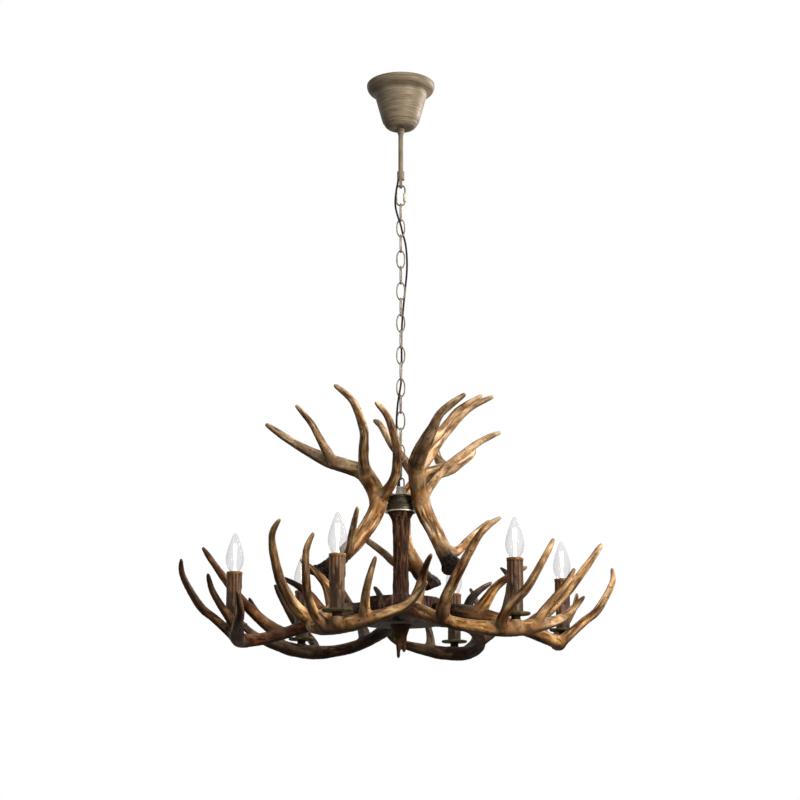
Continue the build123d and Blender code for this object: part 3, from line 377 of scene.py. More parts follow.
def dripped_wax():
    """Brown candle wax: near-black gaps, amber runs with soft light in them, a paler melted rim."""
    middle = bpy.context.scene.chandelier_colours.wax
    made, tree, place = start("dripped_brown_wax", Specular_IOR_Level=0.25, Subsurface_Weight=0.05,
                              Subsurface_Radius=(0.006, 0.003, 0.0015))
    ridge, height = (add(tree, "Attribute", out="Fac", attribute_name=key)
                     for key in ("ridge", "tone"))
    upright = add(tree, "Mapping", {"Vector": place, "Scale": (1, 1, 0.22)})
    cloud = add(tree, "TexNoise", {"Vector": upright, "Scale": per_metre(7), "Detail": 5.0,
                                   "Roughness": 0.62, "Distortion": 0.4})
    color = add(tree, "ValToRGB", {"Fac": ridge}, (
        (0.08, "#0a0401"), (0.3, "#2c1607"), (0.6, middle), (1.0, "#664522")))
    tint = add(tree, "ValToRGB", {"Fac": cloud}, (
        (0.4, "#150a03"), (0.5, "#40250f"), (0.62, "#6c4d2a")))
    return finish_surface(
        made, color, (cloud, 0.3, 0.7, 0.6, 0.4), (cloud, 0.8, 0.7),
        coats=((1.0, 0.0, 1.0, 0.42, tint), (height, 0.965, 0.995, 0.55, "#8c7355")))


def braided_cotton():
    """Black braided cotton: a crossing weave of 0.7 mm yarns with dusty highs."""
    made, tree, place = start("black_braided_cotton", Specular_IOR_Level=0.2, Sheen_Weight=0.2,
                              Sheen_Roughness=0.4)
    flat = add(tree, "Mapping", {"Vector": place, "Scale": (1, 1, 0.6)})
    weave = add(tree, "TexVoronoi", {"Vector": flat, "Scale": per_metre(0.7), "Randomness": 0.35})
    fibre = add(tree, "TexNoise", {"Vector": place, "Scale": per_metre(1.4), "Detail": 3.0})
    color = add(tree, "ValToRGB", {"Fac": weave}, (
        (0.1, "#1b1816"), (0.5, "#0f0d0c"), (0.75, "#040404")))
    return finish_surface(made, color, (fibre, 0.3, 0.7, 0.95, 0.75), (weave, 0.4, 0.8),
                          coats=((fibre, 0.5, 0.7, 0.25, "#2d2926"),))


def moulded_plastic(name, first, second, rough):
    """Moulded plastic: a fine matt spark grain and slight mottling."""
    made, tree, place = start(name)
    cloud = add(tree, "TexNoise", {"Vector": place, "Scale": per_metre(16), "Detail": 4.0})
    spark = add(tree, "TexNoise", {"Vector": place, "Scale": per_metre(0.6), "Detail": 2.0})
    color = add(tree, "ValToRGB", {"Fac": cloud}, ((0.35, first), (0.65, second)))
    return finish_surface(made, color, (spark, 0.3, 0.7, rough - 0.06, rough + 0.1),
                          (spark, 0.05, 0.6))


def lamp_glass():
    """Thin blown glass, faintly smoked: a grey veil, denser where the wall is seen edge on."""
    made, tree, place = start("smoked_lamp_glass", IOR=1.45)
    cloud = add(tree, "TexNoise", {"Vector": place, "Scale": per_metre(25), "Detail": 3.0})
    edge = add(tree, "LayerWeight", {"Blend": 0.5}, out="Facing")
    veil = add(tree, "MapRange", {"Value": edge, "From Min": 0.35, "From Max": 1.0, "To Min": 0.1,
                                  "To Max": 0.3})
    color = add(tree, "ValToRGB", {"Fac": cloud}, ((0.35, "#8e8d93"), (0.65, "#a09fa4")))
    return finish_surface(made, color, (cloud, 0.4, 0.8, 0.05, 0.12), Alpha=veil)


def coated_filament():
    """Coated filament sticks on a pale glass stem, bright as in a lamp that is lit low."""
    made, tree, place = start("coated_filament", Emission_Strength=0.8)
    bead = add(tree, "TexNoise", {"Vector": place, "Scale": per_metre(1.1), "Detail": 2.0})
    color = add(tree, "ValToRGB", {"Fac": bead}, ((0.35, "#f1efdf"), (0.65, "#ffffff")))
    return finish_surface(made, color, (bead, 0.0, 1.0, 0.3, 0.5), (bead, 0.1, 0.6),
                          Emission_Color=color)


def studio_paper():
    """Plain pale paper, barely mottled, that gives little light back to the object."""
    made, tree, place = start("studio_paper", Specular_IOR_Level=0.1)
    cloud = add(tree, "TexNoise", {"Vector": place, "Scale": per_metre(500)})
    pale = add(tree, "ValToRGB", {"Fac": cloud}, ((0.3, "#e3e1dd"), (0.7, "#ebe9e6")))
    return finish_surface(made, "#6a6761", (cloud, 0.0, 1.0, 0.85, 0.95), (cloud, 0.2, 0.2),
                          coats=((seen_ray(tree), 0.0, 1.0, 1.0, pale),))


def seen_ray(tree):
    """1 for what the camera sees directly, in a reflection or through glass, and 0 for lighting."""
    rays = add(tree, "LightPath").node.outputs
    seen = rays["Is Camera Ray"]
    for kind in ("Is Glossy Ray", "Is Transmission Ray"):
        seen = add(tree, "Math", {0: seen, 1: rays[kind]}, operation="MAXIMUM")
    return seen


MATERIALS = {
    "antler": (antler_resin, "brown_stained_antler_resin", BROWN_SHADES, 0.0, 0.9, 0.75, 0.45),
    # The russet and umber resins are the brown stain darkened as painted shade.
    "russet": (antler_resin, "russet_stained_antler_resin", SHADED_RUSSET_SHADES, 0.0, 0.85, 0.7, 0.15),
    "umber": (antler_resin, "umber_stained_antler_resin", SHADED_UMBER_SHADES, 0.0, 0.97, 0.85, 0.14),
    "crown": (antler_resin, "pale_stained_antler_resin", PALE_SHADES, 0.0, 0.45, 0.5, 0.6),
    "finial": (antler_resin, "dark_stained_antler_resin", BROWN_SHADES, 0.8, 0.9, 0.5, 0.3),
    "bark": (tree_bark, "column_bark", "#100704", "#392112", "#6c503b", 9),
    "hub_bark": (tree_bark, "hub_bark", "#0c0504", "#301a14", "#66503f", 11),
    "bronze": (brushed_bronze, "brushed_bronze_lacquer", (0.08, 0.08, 1)),
    "stem_bronze": (brushed_bronze, "stem_bronze_lacquer", (1, 1, 0.08)),
    "wax": (dripped_wax,),
    "braid": (braided_cotton,),
    "black": (moulded_plastic, "black_moulded_phenolic", "#0b0b0c", "#161617", 0.5),
    "white": (moulded_plastic, "white_moulded_nylon", "#d9d6cc", "#ebe8df", 0.5),
    "glass": (lamp_glass,),
    "filament": (coated_filament,),
    "paper": (studio_paper,),
}
# Each metal: its name, three shades, roughness, width of its clouds in millimetres, and how
# metallic and how glossy it is.
METALS = {
    "nickel": ("aged_nickel_wire", ("#3d3a34", "#6b655a", "#918a7d"), 0.5, 14, 0.6),
    "neck": ("neck_nickel", ("#7d7364", "#a0978a", "#c4bbae"), 0.5, 25, 0.5),
    "patina": ("dark_bronze_patina", ("#15130d", "#2e291d", "#544b39"), 0.46, 14, 0.5, 0.3),
    "washer": ("collar_washer_zinc", ("#8b867d", "#b3aea5", "#d2cdc4"), 0.42, 12, 0.5),
    "plate": ("olive_plate_paint", ("#1c190c", "#3b371b", "#6a6234"), 0.6, 17, 0.0, 0.12),
    "spacer": ("blackened_steel", ("#120a05", "#2a180c", "#4a301a"), 0.6, 14, 0.0, 0.12),
    "base": ("hub_plate_paint", ("#1b1815", "#2e2924", "#4b443c"), 0.7, 8, 0.0, 0.1),
    "zinc": ("zinc_plated_steel", ("#7f8183", "#a9acad", "#d0d2d2"), 0.4),
    "sleeve_nut": ("sleeve_nut_brass", ("#5d5141", "#85785f", "#a69a86"), 0.45, 11, 0.6),
    "brass_cap": ("lamp_cap_brass", ("#8c7443", "#b89a5c", "#dcc68d"), 0.35),
}
MATERIALS.update({key: (rubbed_metal, *look) for key, look in METALS.items()})
made_materials = {}


def material(key):
    """The material of this name, made once."""
    if key not in made_materials:
        maker, *values = MATERIALS[key]
        made_materials[key] = maker(*values)
    return made_materials[key]


# ---------------------------------------------------------------- mesh helpers
def clamped(value):
    """A share kept between 0 and 1."""
    return max(0.0, min(1.0, value))


def turned(angle):
    """A turn about the middle axis, in degrees."""
    return Matrix.Rotation(radians(angle), 4, "Z")


def candle_places():
    """Where the six candles stand."""
    outward = Matrix.Translation((CANDLE_RADIUS * MM, 0, 0))
    return [turned(azimuth) @ outward for azimuth in LOWER_AZIMUTHS]


def finished(name, mesh, key, nodes=(), slot="", sharp=40, body=BODY):
    """Links a mesh as a piece. One that stands for CAD nodes rides on a body; the slot is not used.
    """
    piece = bpy.data.objects.new(name, mesh)
    bpy.context.scene.collection.objects.link(piece)
    mesh.materials.clear()
    mesh.materials.append(material(key))
    mesh.shade_smooth()
    mesh.set_sharp_from_angle(angle=radians(sharp))
    if nodes:
        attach(piece, body)
        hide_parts(*nodes)
    return piece


def to_mesh(name, shape):
    """Turns a bmesh into a mesh with its normals outward, and frees it."""
    bmesh.ops.recalc_face_normals(shape, faces=shape.faces)
    mesh = bpy.data.meshes.new(name)
    shape.to_mesh(mesh)
    shape.free()
    return mesh


def evaluated_mesh(name, holder):
    """Mesh that an object's curve or modifiers give. The object is removed."""
    bpy.context.scene.collection.objects.link(holder)
    bpy.context.view_layer.update()
    source = holder.data
    graph = bpy.context.evaluated_depsgraph_get()
    mesh = bpy.data.meshes.new_from_object(holder.evaluated_get(graph))
    mesh.name = name
    bpy.data.objects.remove(holder)
    (bpy.data.curves if isinstance(source, bpy.types.Curve) else bpy.data.meshes).remove(source)
    return mesh


def lathe(outline, segments=72):
    """Spins a closed outline of (radius, height) in millimetres round the Z axis."""
    shape = bmesh.new()
    ring = [shape.verts.new((radius * MM, 0, height * MM)) for radius, height in outline]
    edges = [shape.edges.new((ring[index - 1], point)) for index, point in enumerate(ring)]
    bmesh.ops.spin(shape, geom=ring + edges, cent=(0, 0, 0), axis=(0, 0, 1), angle=2 * pi,
                   steps=segments, use_merge=True)
    return shape


def spun(name, outline, segments, *look, places=(), body=BODY):
    """A lathed piece, or one with a copy at each place, finished with this look."""
    mesh = to_mesh(name, lathe(outline, segments))
    return finished(name, repeated(name, mesh, places) if places else mesh, *look, body=body)


def copied(mesh, place):
    """A copy of a mesh at a place."""
    copy = mesh.copy()
    copy.transform(place)
    return copy


def repeated(name, mesh, places):
    """One mesh with a copy of another at each place."""
    whole = bmesh.new()
    for place in places:
        copy = copied(mesh, place)
        whole.from_mesh(copy)
        bpy.data.meshes.remove(copy)
    bpy.data.meshes.remove(mesh)
    return to_mesh(name, whole)


def rounded(corners, radius, steps=4):
    """Outline with each corner of a closed polygon rounded."""
    points = []
    for index, corner in enumerate(corners):
        corner = Vector(corner)
        before = Vector(corners[index - 1]) - corner
        after = Vector(corners[(index + 1) % len(corners)]) - corner
        cut = min(radius, before.length * 0.45, after.length * 0.45)
        first, last = corner + before.normalized() * cut, corner + after.normalized() * cut
        for step in range(steps + 1):
            share = step / steps
            point = first.lerp(corner, share).lerp(corner.lerp(last, share), share)
            points.append((point.x, point.y))
    return points


def refine(stations, steps):
    """Stations of a smooth line through the given ones."""
    rows = [Vector(row) for row in stations]
    line = []
    for index in range(len(rows) - 1):
        before = rows[max(index - 1, 0)]
        first, last = rows[index], rows[index + 1]
        after = rows[min(index + 2, len(rows) - 1)]
        for step in range(steps):
            share = step / steps
            square, cube = share ** 2, share ** 3
            line.append(0.5 * (2 * first + (last - before) * share
                               + (2 * before - 5 * first + 4 * last - after) * square
                               + (3 * first - before - 3 * last + after) * cube))
    line.append(rows[-1])
    return line


def tubes(name, lines, resolution=4, closed=False):
    """Mesh of round tubes along lines of (x, y, z, radius) in millimetres."""
    curve = bpy.data.curves.new(name, "CURVE")
    curve.dimensions = "3D"
    curve.bevel_depth = MM
    curve.bevel_resolution = resolution
    curve.use_fill_caps = not closed
    for line in lines:
        spline = curve.splines.new("POLY")
        spline.points.add(len(line) - 1)
        for point, row in zip(spline.points, line):
            point.co = (*(row.to_3d() * MM), 1)
            point.radius = row.w
        spline.use_cyclic_u = closed
    shape = bmesh.new()
    mesh = evaluated_mesh(name, bpy.data.objects.new(name, curve))
    shape.from_mesh(mesh)
    bpy.data.meshes.remove(mesh)
    bmesh.ops.remove_doubles(shape, verts=shape.verts, dist=0.01 * MM)
    return to_mesh(name, shape)


def link_line(half_width, half_length, radius, oval, steps=20):
    """Line of a chain link in the XZ plane, from straight-sided at oval 0 to elliptical at 1."""
    straight = half_length - half_width
    line = []
    for step in range(2 * steps + 2):
        upper = step <= steps
        angle = pi * (step if upper else step - 1) / steps
        straight_sided = (straight if upper else -straight) + half_width * sin(angle)
        height = (1 - oval) * straight_sided + oval * half_length * sin(angle)
        line.append(Vector((half_width * cos(angle), 0, height, radius)))
    return line


def moved(line, angle, level):
    """A line turned by an angle and moved to a level in millimetres."""
    way = turned(angle).to_3x3()
    return [Vector((*(way @ row.to_3d() + Vector((0, 0, level))), row.w)) for row in line]


def antler_lines(branches, level):
    """Smooth centre line of each branch. A tine is flared at its beam and blunt at its tip."""
    lines = []
    for branch in branches:
        line = refine([(x, y, level + z, size / 2) for x, y, z, size in branch], STATION_STEPS)
        end = line[-STATION_STEPS - 1:]
        root, tip = end[0].w, end[-1].w
        if tip < BLUNT_RADIUS:
            for step in range(FLARE_STEPS if lines else 0):
                line[step].w *= 1 + FLARE * (1 - step / FLARE_STEPS) ** 2
            for step in range(1, STATION_STEPS + 1):
                end[step].w = tip + (root - tip) * (1 - (step / STATION_STEPS) ** TIP_ROUNDING)
        lines.append(line)
    return lines


def antler_samples(lines):
    """Place, direction, run, age and thickness of points along the branches.

    The age goes from 0 at the root to 1 at a tip.
    """
    samples = []
    for line in lines:
        first = line[0].to_3d() * MM
        young = min(samples, key=lambda row: (row[0] - first).length)[3] if samples else 0
        run = 0
        for index, row in enumerate(line):
            centre = row.to_3d()
            along = line[min(index + 1, len(line) - 1)].to_3d() - line[max(index - 1, 0)].to_3d()
            run += (centre - line[index - 1].to_3d()).length if index else 0
            age = young + (1 - young) * index / (len(line) - 1)
            samples.append((centre * MM, along.normalized(), run, age, row.w * 2))
    return samples


def attributes(mesh, **kinds):
    """Values of new attributes on the mesh's points, read only once all of them are there."""
    for key, kind in kinds.items():
        mesh.attributes.new(key, kind, "POINT")
    return [mesh.attributes[key].data for key in kinds]


def antler_mesh(name, branches, level, look, bark_at):
    """One antler: its branches melted into one skin, with grooves, lumps and a pitted root.

    Attributes tell its material which way the tine runs, its age, its bark, how far it faces up
    and how near it is to a fork.
    """
    lines = antler_lines(branches, level)
    holder = bpy.data.objects.new(name, tubes(name, lines, 6))
    melt = holder.modifiers.new("melt", "REMESH")
    melt.mode = "VOXEL"
    melt.voxel_size = look.voxel
    soften = holder.modifiers.new("soften", "SMOOTH")
    soften.factor = 0.5
    soften.iterations = look.smoothing
    mesh = evaluated_mesh(name, holder)
    samples = antler_samples(lines)
    tree = kdtree.KDTree(len(samples))
    for index, sample in enumerate(samples):
        tree.insert(sample[0], index)
    tree.balance()
    flow, tone, bark, facing, fork = attributes(
        mesh, flow="FLOAT_VECTOR", tone="FLOAT", bark="FLOAT", facing="FLOAT", fork="FLOAT")
    roots = [line[0].to_3d() * MM for line in lines[1:]]
    bark_place, bark_reach = Vector(bark_at[:3]) * MM, bark_at[3] * MM
    spots = []
    for vertex in mesh.vertices:
        spot = vertex.co
        centre, along, run, age, size = samples[tree.find(spot)[1]]
        offset = spot - centre
        away = offset - along * offset.dot(along)
        reach = run * MM + offset.dot(along)
        unit = away.normalized()
        groove = noise.noise(Vector((unit.x * GROOVES_ROUND, unit.y * GROOVES_ROUND,
                                     unit.z * GROOVES_ROUND + reach * GROOVES_ALONG)))
        lump = sum(noise.noise(spot * scale) * share for scale, share in LUMPS)
        crust = clamped(BARK_EDGE * (1 - (spot - bark_place).length / bark_reach))
        pits = noise.turbulence(spot * PITS, 3, True) * crust
        thick = min(1.0, size / FULL_RELIEF)
        lift = thick * (groove * look.groove + lump * look.lump) + pits * look.bark
        spots.append(spot + unit * lift)
        index = vertex.index
        flow[index].vector = (away.x, away.y + away.z * 0.6, reach)
        tone[index].value = age
        bark[index].value = crust
        facing[index].value = vertex.normal.z
        near = min((spot - root).length for root in roots)
        fork[index].value = clamped((FORK_REACH * MM - near) / (FORK_FADE * MM))
    for vertex, spot in zip(mesh.vertices, spots):
        vertex.co = spot
    return mesh


def bark_mesh(name, shape, depth, width, stretch, seed):
    """Mesh of a bark piece whose ridges are pushed out, with their height kept as an attribute."""
    noise.seed_set(NOISE_SEED)
    mesh = to_mesh(name, shape)
    ridge, = attributes(mesh, ridge="FLOAT")
    for vertex in mesh.vertices:
        spot = vertex.co
        away = Vector((spot.x, spot.y, 0)).normalized()
        sample = Vector((spot.x, spot.y, spot.z * stretch)) * per_metre(width)
        sample += Vector((0, 0, seed))
        sample += noise.noise_vector(sample * 0.7) * 0.5
        coarse, fine = (1 - abs(noise.noise(sample * scale)) * 2 for scale in (1, 2.3))
        height = clamped(0.65 * coarse + 0.35 * fine)
        vertex.co = spot + away * (height - 0.75) * depth
        ridge[vertex.index].value = height
    return mesh


# ---------------------------------------------------------------- settings
def length(name, description, millimetres, most=500.0):
    """A length that the user can change."""
    return bpy.props.FloatProperty(
        name=name, description=description, default=millimetres * MM, min=0, max=most * MM,
        precision=4, unit="LENGTH")


def shade(name, description, code):
    """A colour that the user can change."""
    return bpy.props.FloatVectorProperty(
        name=name, description=description, default=linear(code), size=4, min=0, max=1,
        subtype="COLOR")


class AntlerLook(bpy.types.PropertyGroup):
    """Surface of the antlers"""
    voxel: length("Voxel", "Size of the cells that the branches are melted in", 2.1, 6)
    smoothing: bpy.props.IntProperty(
        name="Smoothing", description="Rounds of smoothing after the melt", default=8, min=0,
        max=20)
    groove: length("Groove depth", "Depth of the grooves along a beam", 1.1, 3)
    lump: length("Lump height", "Height of the soft lumps", 1.3, 3)
    bark: length("Bark relief", "Depth of the pits at the root", 2.4, 5)


class ChainSizes(bpy.types.PropertyGroup):
    """Sizes of the chain"""
    wire: length("Wire", "Thickness of the wire", 3.0, 6)
    link_width: length("Link width", "Width of a link over its wire", 18.4, 40)
    link_length: length("Link length", "Length of a link inside its wire", 33.3, 60)
    pitch: length("Pitch", "Distance from one link to the next", 33.1, 60)
    drop: length("Drop", "Distance from the ceiling to the middle of the first link", 276.2)
    links: bpy.props.IntProperty(
        name="Links", description="Number of links", default=16, min=1, max=60)
    oval: bpy.props.FloatProperty(
        name="Oval", description="How far the links are elliptical", default=0.75, min=0, max=1,
        subtype="FACTOR")


class CandleSizes(bpy.types.PropertyGroup):
    """Sizes of a candle and its bulb"""
    drop: length("Drop", "Distance from the ceiling to the foot of the spacer", 1121.0, 3000)
    sleeve: length("Sleeve", "Radius of the sleeve under its wax", 13.5, 40)
    height: length("Height", "Height of the sleeve", 99.0, 200)
    wax: length("Wax", "Height of the wax runs", 1.8, 3)
    bulb_diameter: length("Bulb diameter", "Widest diameter of the glass", 35.0, 80)
    bulb_length: length("Bulb length", "Length of the glass over the cap", 75.3, 150)


class BarkLook(bpy.types.PropertyGroup):
    """Relief of the bark"""
    column: length("Column relief", "Depth of the cracks in the column", 2.8, 8)
    hub: length("Hub relief", "Depth of the cracks in the hub", 3.0, 8)


class Colours(bpy.types.PropertyGroup):
    """Main colours of the finishes"""
    # The antler shade browns the roots and is also the painted shade in the antlers' undersides.
    antler_shade: shade("Antler shade", "Dark wash in the undersides", "#341b0b")
    bronze: shade("Bronze", "Middle shade of the canopy and stem", "#685e4f")
    wax: shade("Wax", "Middle shade of the candles", "#4d2f14")


class StageSettings(bpy.types.PropertyGroup):
    """Camera and light"""
    lens: bpy.props.FloatProperty(
        name="Lens", description="Focal length of the camera", default=77.52, min=20, max=200,
        unit="CAMERA")
    tilt: bpy.props.FloatProperty(
        name="Tilt", description="Upward tilt of the camera", default=radians(13.138), min=-1.5,
        max=1.5, subtype="ANGLE")
    sky: bpy.props.FloatProperty(
        name="Sky", description="Strength of the light from all round", default=0.3, min=0, max=1)


# ---------------------------------------------------------------- pieces
class ChandelierCord(bpy.types.Operator):
    """Makes the supply cord that weaves down the chain"""
    bl_idname = "chandelier.cord"
    bl_label = "Supply cord"

    def execute(self, context):
        curve = bpy.data.curves.new("supply_cord_look", "CURVE")
        curve.dimensions = "3D"
        curve.bevel_depth = 2.0 * MM
        curve.bevel_resolution = 4
        curve.resolution_u = 10
        spline = curve.splines.new("NURBS")
        spline.points.add(len(CORD_POINTS) - 1)
        for point, spot in zip(spline.points, CORD_POINTS):
            point.co = (*(Vector(spot) * MM), 1)
        spline.order_u = 3
        spline.use_endpoint_u = True
        cord = bpy.data.objects.new("supply_cord_look", curve)
        context.scene.collection.objects.link(cord)
        curve.materials.append(material("braid"))
        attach(cord, "chain")
        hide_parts("supply_cord")
        Vector(CORD_POINTS[0]) * MM
        return {"FINISHED"}


class ChandelierLowerAntlers(bpy.types.Operator):
    """Makes the six antlers that carry the candles"""
    bl_idname = "chandelier.lower_antlers"
    bl_label = "Lower antlers"

    def execute(self, context):
        look = context.scene.chandelier_antlers
        mesh = antler_mesh("lower_antler", LOWER_BRANCHES, HUB_LEVEL, look, LOWER_BARK)
        # The second and third arms, at the back, and the fourth, on the left, take darker copies of
        # the brown stain as painted shade.
        for number, (azimuth, stain) in enumerate(zip(LOWER_AZIMUTHS, LOWER_STAINS_AND_SHADE), 1):
            finished(f"candle_arm_{number}", copied(mesh, turned(azimuth)), stain,
                     [f"lower_antler_{number}"], "antler_resin", 80)
        bpy.data.meshes.remove(mesh)
        return {"FINISHED"}


class ChandelierUpperAntlers(bpy.types.Operator):
    """Makes the three antlers that stand round the collar"""
    bl_idname = "chandelier.upper_antlers"
    bl_label = "Upper antlers"

    def execute(self, context):
        look = context.scene.chandelier_antlers
        for number, azimuth in enumerate(UPPER_AZIMUTHS, 1):
            branches = REAR_BRANCHES if number == REAR_NUMBER else UPPER_BRANCHES
            mesh = antler_mesh("upper_antler", branches, COLLAR_LEVEL, look, UPPER_BARK)
            mesh.transform(turned(azimuth))
            finished(f"crown_antler_{number}", mesh, "crown", [f"upper_antler_{number}"],
                     "antler_resin", 80)
        return {"FINISHED"}


class ChandelierColumn(bpy.types.Operator):
    """Makes the bark column, the bark hub with its plate, and the finial"""
    bl_idname = "chandelier.column"
    bl_label = "Column, hub and finial"

    def execute(self, context):
        look = context.scene.chandelier_bark
        wall = [(row.x, row.y) for row in refine(COLUMN_OUTLINE, 12)]
        shape = lathe(wall + [(24.6, -889), (ROD_HOLE, -889), (ROD_HOLE, HUB_TOP)], 120)
        mesh = bark_mesh("bark_column", shape, look.column, 6.5, 0.12, 3)
        finished("bark_column", mesh, "bark", ["column"], "bark", 70)
        wall = [(74.2, HUB_FOOT + 47 * step / 40) for step in range(41)]
        top = [(74 - 69 * step / 24, HUB_TOP) for step in range(1, 25)]
        hollow = [(ROD_HOLE, -1061), (70, -1061), (70, HUB_FOOT)]
        shape = lathe(wall + top + hollow, 300)
        mesh = bark_mesh("bark_hub", shape, look.hub, 10.5, 0.35, 9)
        finished("bark_hub", mesh, "hub_bark", ["hub"], "bark", 70)
        outline = [(5.1, -1106), (75, -1106), (75, HUB_FOOT), (5.1, HUB_FOOT)]
        spun("hub_bottom", rounded(outline, 1.0), 160, "base", ["hub_plate"], "olive_plate")
        mesh = antler_mesh("tine_finial", FINIAL_BRANCHES, FINIAL_LEVEL,
                           context.scene.chandelier_finial, FINIAL_BARK)
        finished("tine_finial", mesh, "finial", ["finial"], "antler_resin", 80)
        return {"FINISHED"}


class ChandelierCollar(bpy.types.Operator):
    """Makes the bail, neck, turned collar and washer"""
    bl_idname = "chandelier.collar"
    bl_label = "Collar and neck"

    def execute(self, context):
        foot, bend, wire = -844, -827, 1.4
        left = [Vector((-6.3, 0, foot + (bend - foot) * step / 4, wire)) for step in range(5)]
        arch = [Vector((6.3 * cos(angle), 0, bend + 6.2 * sin(angle), wire))
                for angle in (pi - pi * step / 16 for step in range(1, 16))]
        right = [Vector((-row.x, 0, row.z, wire)) for row in reversed(left)]
        finished("bail", tubes("bail", [left + arch + right], 5), "patina", ["top_loop"],
                 "dark_bronze")
        spun("chain_neck", rounded(NECK_OUTLINE, 0.8), 72, "neck", ["neck"], "aged_nickel", 50)
        spun("turned_collar", rounded(COLLAR_OUTLINE, 0.7), 96, "patina", ["collar"],
             "dark_bronze", 60)
        outline = [(25.5, -889), (31, -889), (31, -886.5), (25.5, -886.5)]
        spun("washer", rounded(outline, 0.8), 96, "washer", ["collar_washer"], "dark_bronze", 50)
        return {"FINISHED"}


class ChandelierCanopy(bpy.types.Operator):
    """Makes the canopy and its lock collar"""
    bl_idname = "chandelier.canopy"
    bl_label = "Canopy"

    def execute(self, context):
        lip, roll, middle = -3.5, 12, 57.5
        angles = [radians(angle) for angle in range(0, 56, 5)]
        bead = [(middle + roll * cos(angle), lip - roll * sin(angle) * 1.25) for angle in angles]
        outline = rounded([(68, -0.5), (69.5, -1.6), *bead, *CANOPY_WALL], 1.2, 3)
        spun("ceiling_cover", outline, 160, "bronze", ["canopy"], "brushed_bronze", 50,
             body="canopy")
        outline = [(5.1, -96.5), (7, -96.5), (7, -104.5), (6, -108.5), (5.1, -108.5)]
        spun("stem_lock", rounded(outline, 0.5), 64, "stem_bronze", ["lock_collar"],
             "brushed_bronze", 50, body="canopy")
        return {"FINISHED"}


class ChandelierChain(bpy.types.Operator):
    """Makes the quick link, its sleeve nut, the chain links and the last link"""
    bl_idname = "chandelier.chain"
    bl_label = "Chain"

    def execute(self, context):
        sizes = context.scene.chandelier_chain
        wire = sizes.wire / MM
        link = link_line((sizes.link_width / MM - wire) / 2, (sizes.link_length / MM + wire) / 2,
                         wire / 2, sizes.oval)
        for node, body, numbers in (("chain_links_side", "chain", range(0, sizes.links, 2)),
                                    ("chain_links_front", "chain", range(1, sizes.links, 2)),
                                    ("last_link", "last_link", [sizes.links])):
            lines = [moved(link, 0 if number % 2 else LINK_TURN,
                           -(sizes.drop + sizes.pitch * number) / MM) for number in numbers]
            finished(node + "_wire", tubes(node, lines, 4, True), "nickel", [node],
                     "aged_nickel", body=body)
        side, wire = 8.5, 1.75
        line = moved(link_line(side, 21.5, wire, 0.0), 0, -240)
        line = [Vector((side, 0, -247.5, wire))] + line + [Vector((side, 0, -252.5, wire))]
        finished("quick_link_wire", tubes("quick_link", [line], 5), "nickel", ["quick_link"],
                 "aged_nickel", body="quick_link")
        outline = [(2, -254), (3.1, -254), (3.58, -253.2), (3.58, -235.8), (3.1, -235), (2, -235)]
        mesh = to_mesh("sleeve_nut", lathe(outline, 6))
        mesh.transform(Matrix.Translation((side * MM, 0, 0)))
        finished("sleeve_nut", mesh, "sleeve_nut", ["quick_link_sleeve"], "aged_nickel", 20,
                 body="quick_link_sleeve")
        return {"FINISHED"}


class ChandelierCandles(bpy.types.Operator):
    """Makes the spacers, drip plates and wax sleeves of the six candles"""
    bl_idname = "chandelier.candles"
    bl_label = "Candles"

    def execute(self, context):
        sizes = context.scene.chandelier_candle
        foot = -sizes.drop / MM
        stub, dish = ([(radius, foot + height) for radius, height in outline]
                      for outline in (STUB_OUTLINE, DISH_OUTLINE))
        spun("spacers", rounded(stub, 0.8), 40, "spacer", ["plate_spacers"],
             "zinc_plated_steel", 50, places=candle_places())
        spun("dishes", rounded(dish, 0.7), 72, "plate", ["drip_plates"], "olive_plate", 50,
             places=candle_places())

        base, radius, height = foot + DISH_TOP, sizes.sleeve / MM, sizes.height / MM
        rim = base + height
        steps = 66
        outline = [(radius, base + (height - 0.8) * step / steps) for step in range(steps + 1)]
        outline += [(12.75, rim - 0.1), (12.2, rim), (12, rim - 0.6), (12, rim - 30), (12, base)]
        mesh = to_mesh("sleeve", lathe(outline, 90))
        ridge, tone = attributes(mesh, ridge="FLOAT", tone="FLOAT")
        for vertex in mesh.vertices:
            spot = vertex.co
            below = rim - spot.z / MM
            tone[vertex.index].value = 1 - below / height
            if Vector((spot.x, spot.y)).length / MM < INNER_WALL:
                continue
            azimuth = Vector((1, 0)).angle_signed(Vector((spot.x, -spot.y))) * 180 / pi
            # The melted rim stands out over the gaps between the runs.
            lift = RIM_LIFT * clamped((RIM_HEIGHT - below) / RIM_FADE)
            for middle, run, width in WAX_RUNS:
                off = (azimuth - middle + 180) % 360 - 180
                across = max(0.0, 1 - (off / (width * RUN_SPREAD)) ** 2)
                end = clamped((run - below) / 7 + 0.5)
                fat = 0.75 + 0.35 * max(0.0, 1 - abs(run - below - 4) / 9)
                lift = max(lift, across ** 0.5 * end ** 0.5 * fat)
            uneven = noise.noise(Vector((spot.x, spot.y, spot.z * 0.4)) * per_metre(5)) * 0.22
            ridge[vertex.index].value = clamped(lift + uneven + 0.08)
            out = sizes.wax * (lift + uneven) - 0.25 * MM
            vertex.co = spot + Vector((spot.x, spot.y, 0)).normalized() * out
        places = [place @ turned(75 * turn) for turn, place in enumerate(candle_places())]
        mesh = repeated("wax_sleeves", mesh, places)
        finished("wax_sleeves", mesh, "wax", ["candle_sleeves"], "candle_wax", 80)
        return {"FINISHED"}


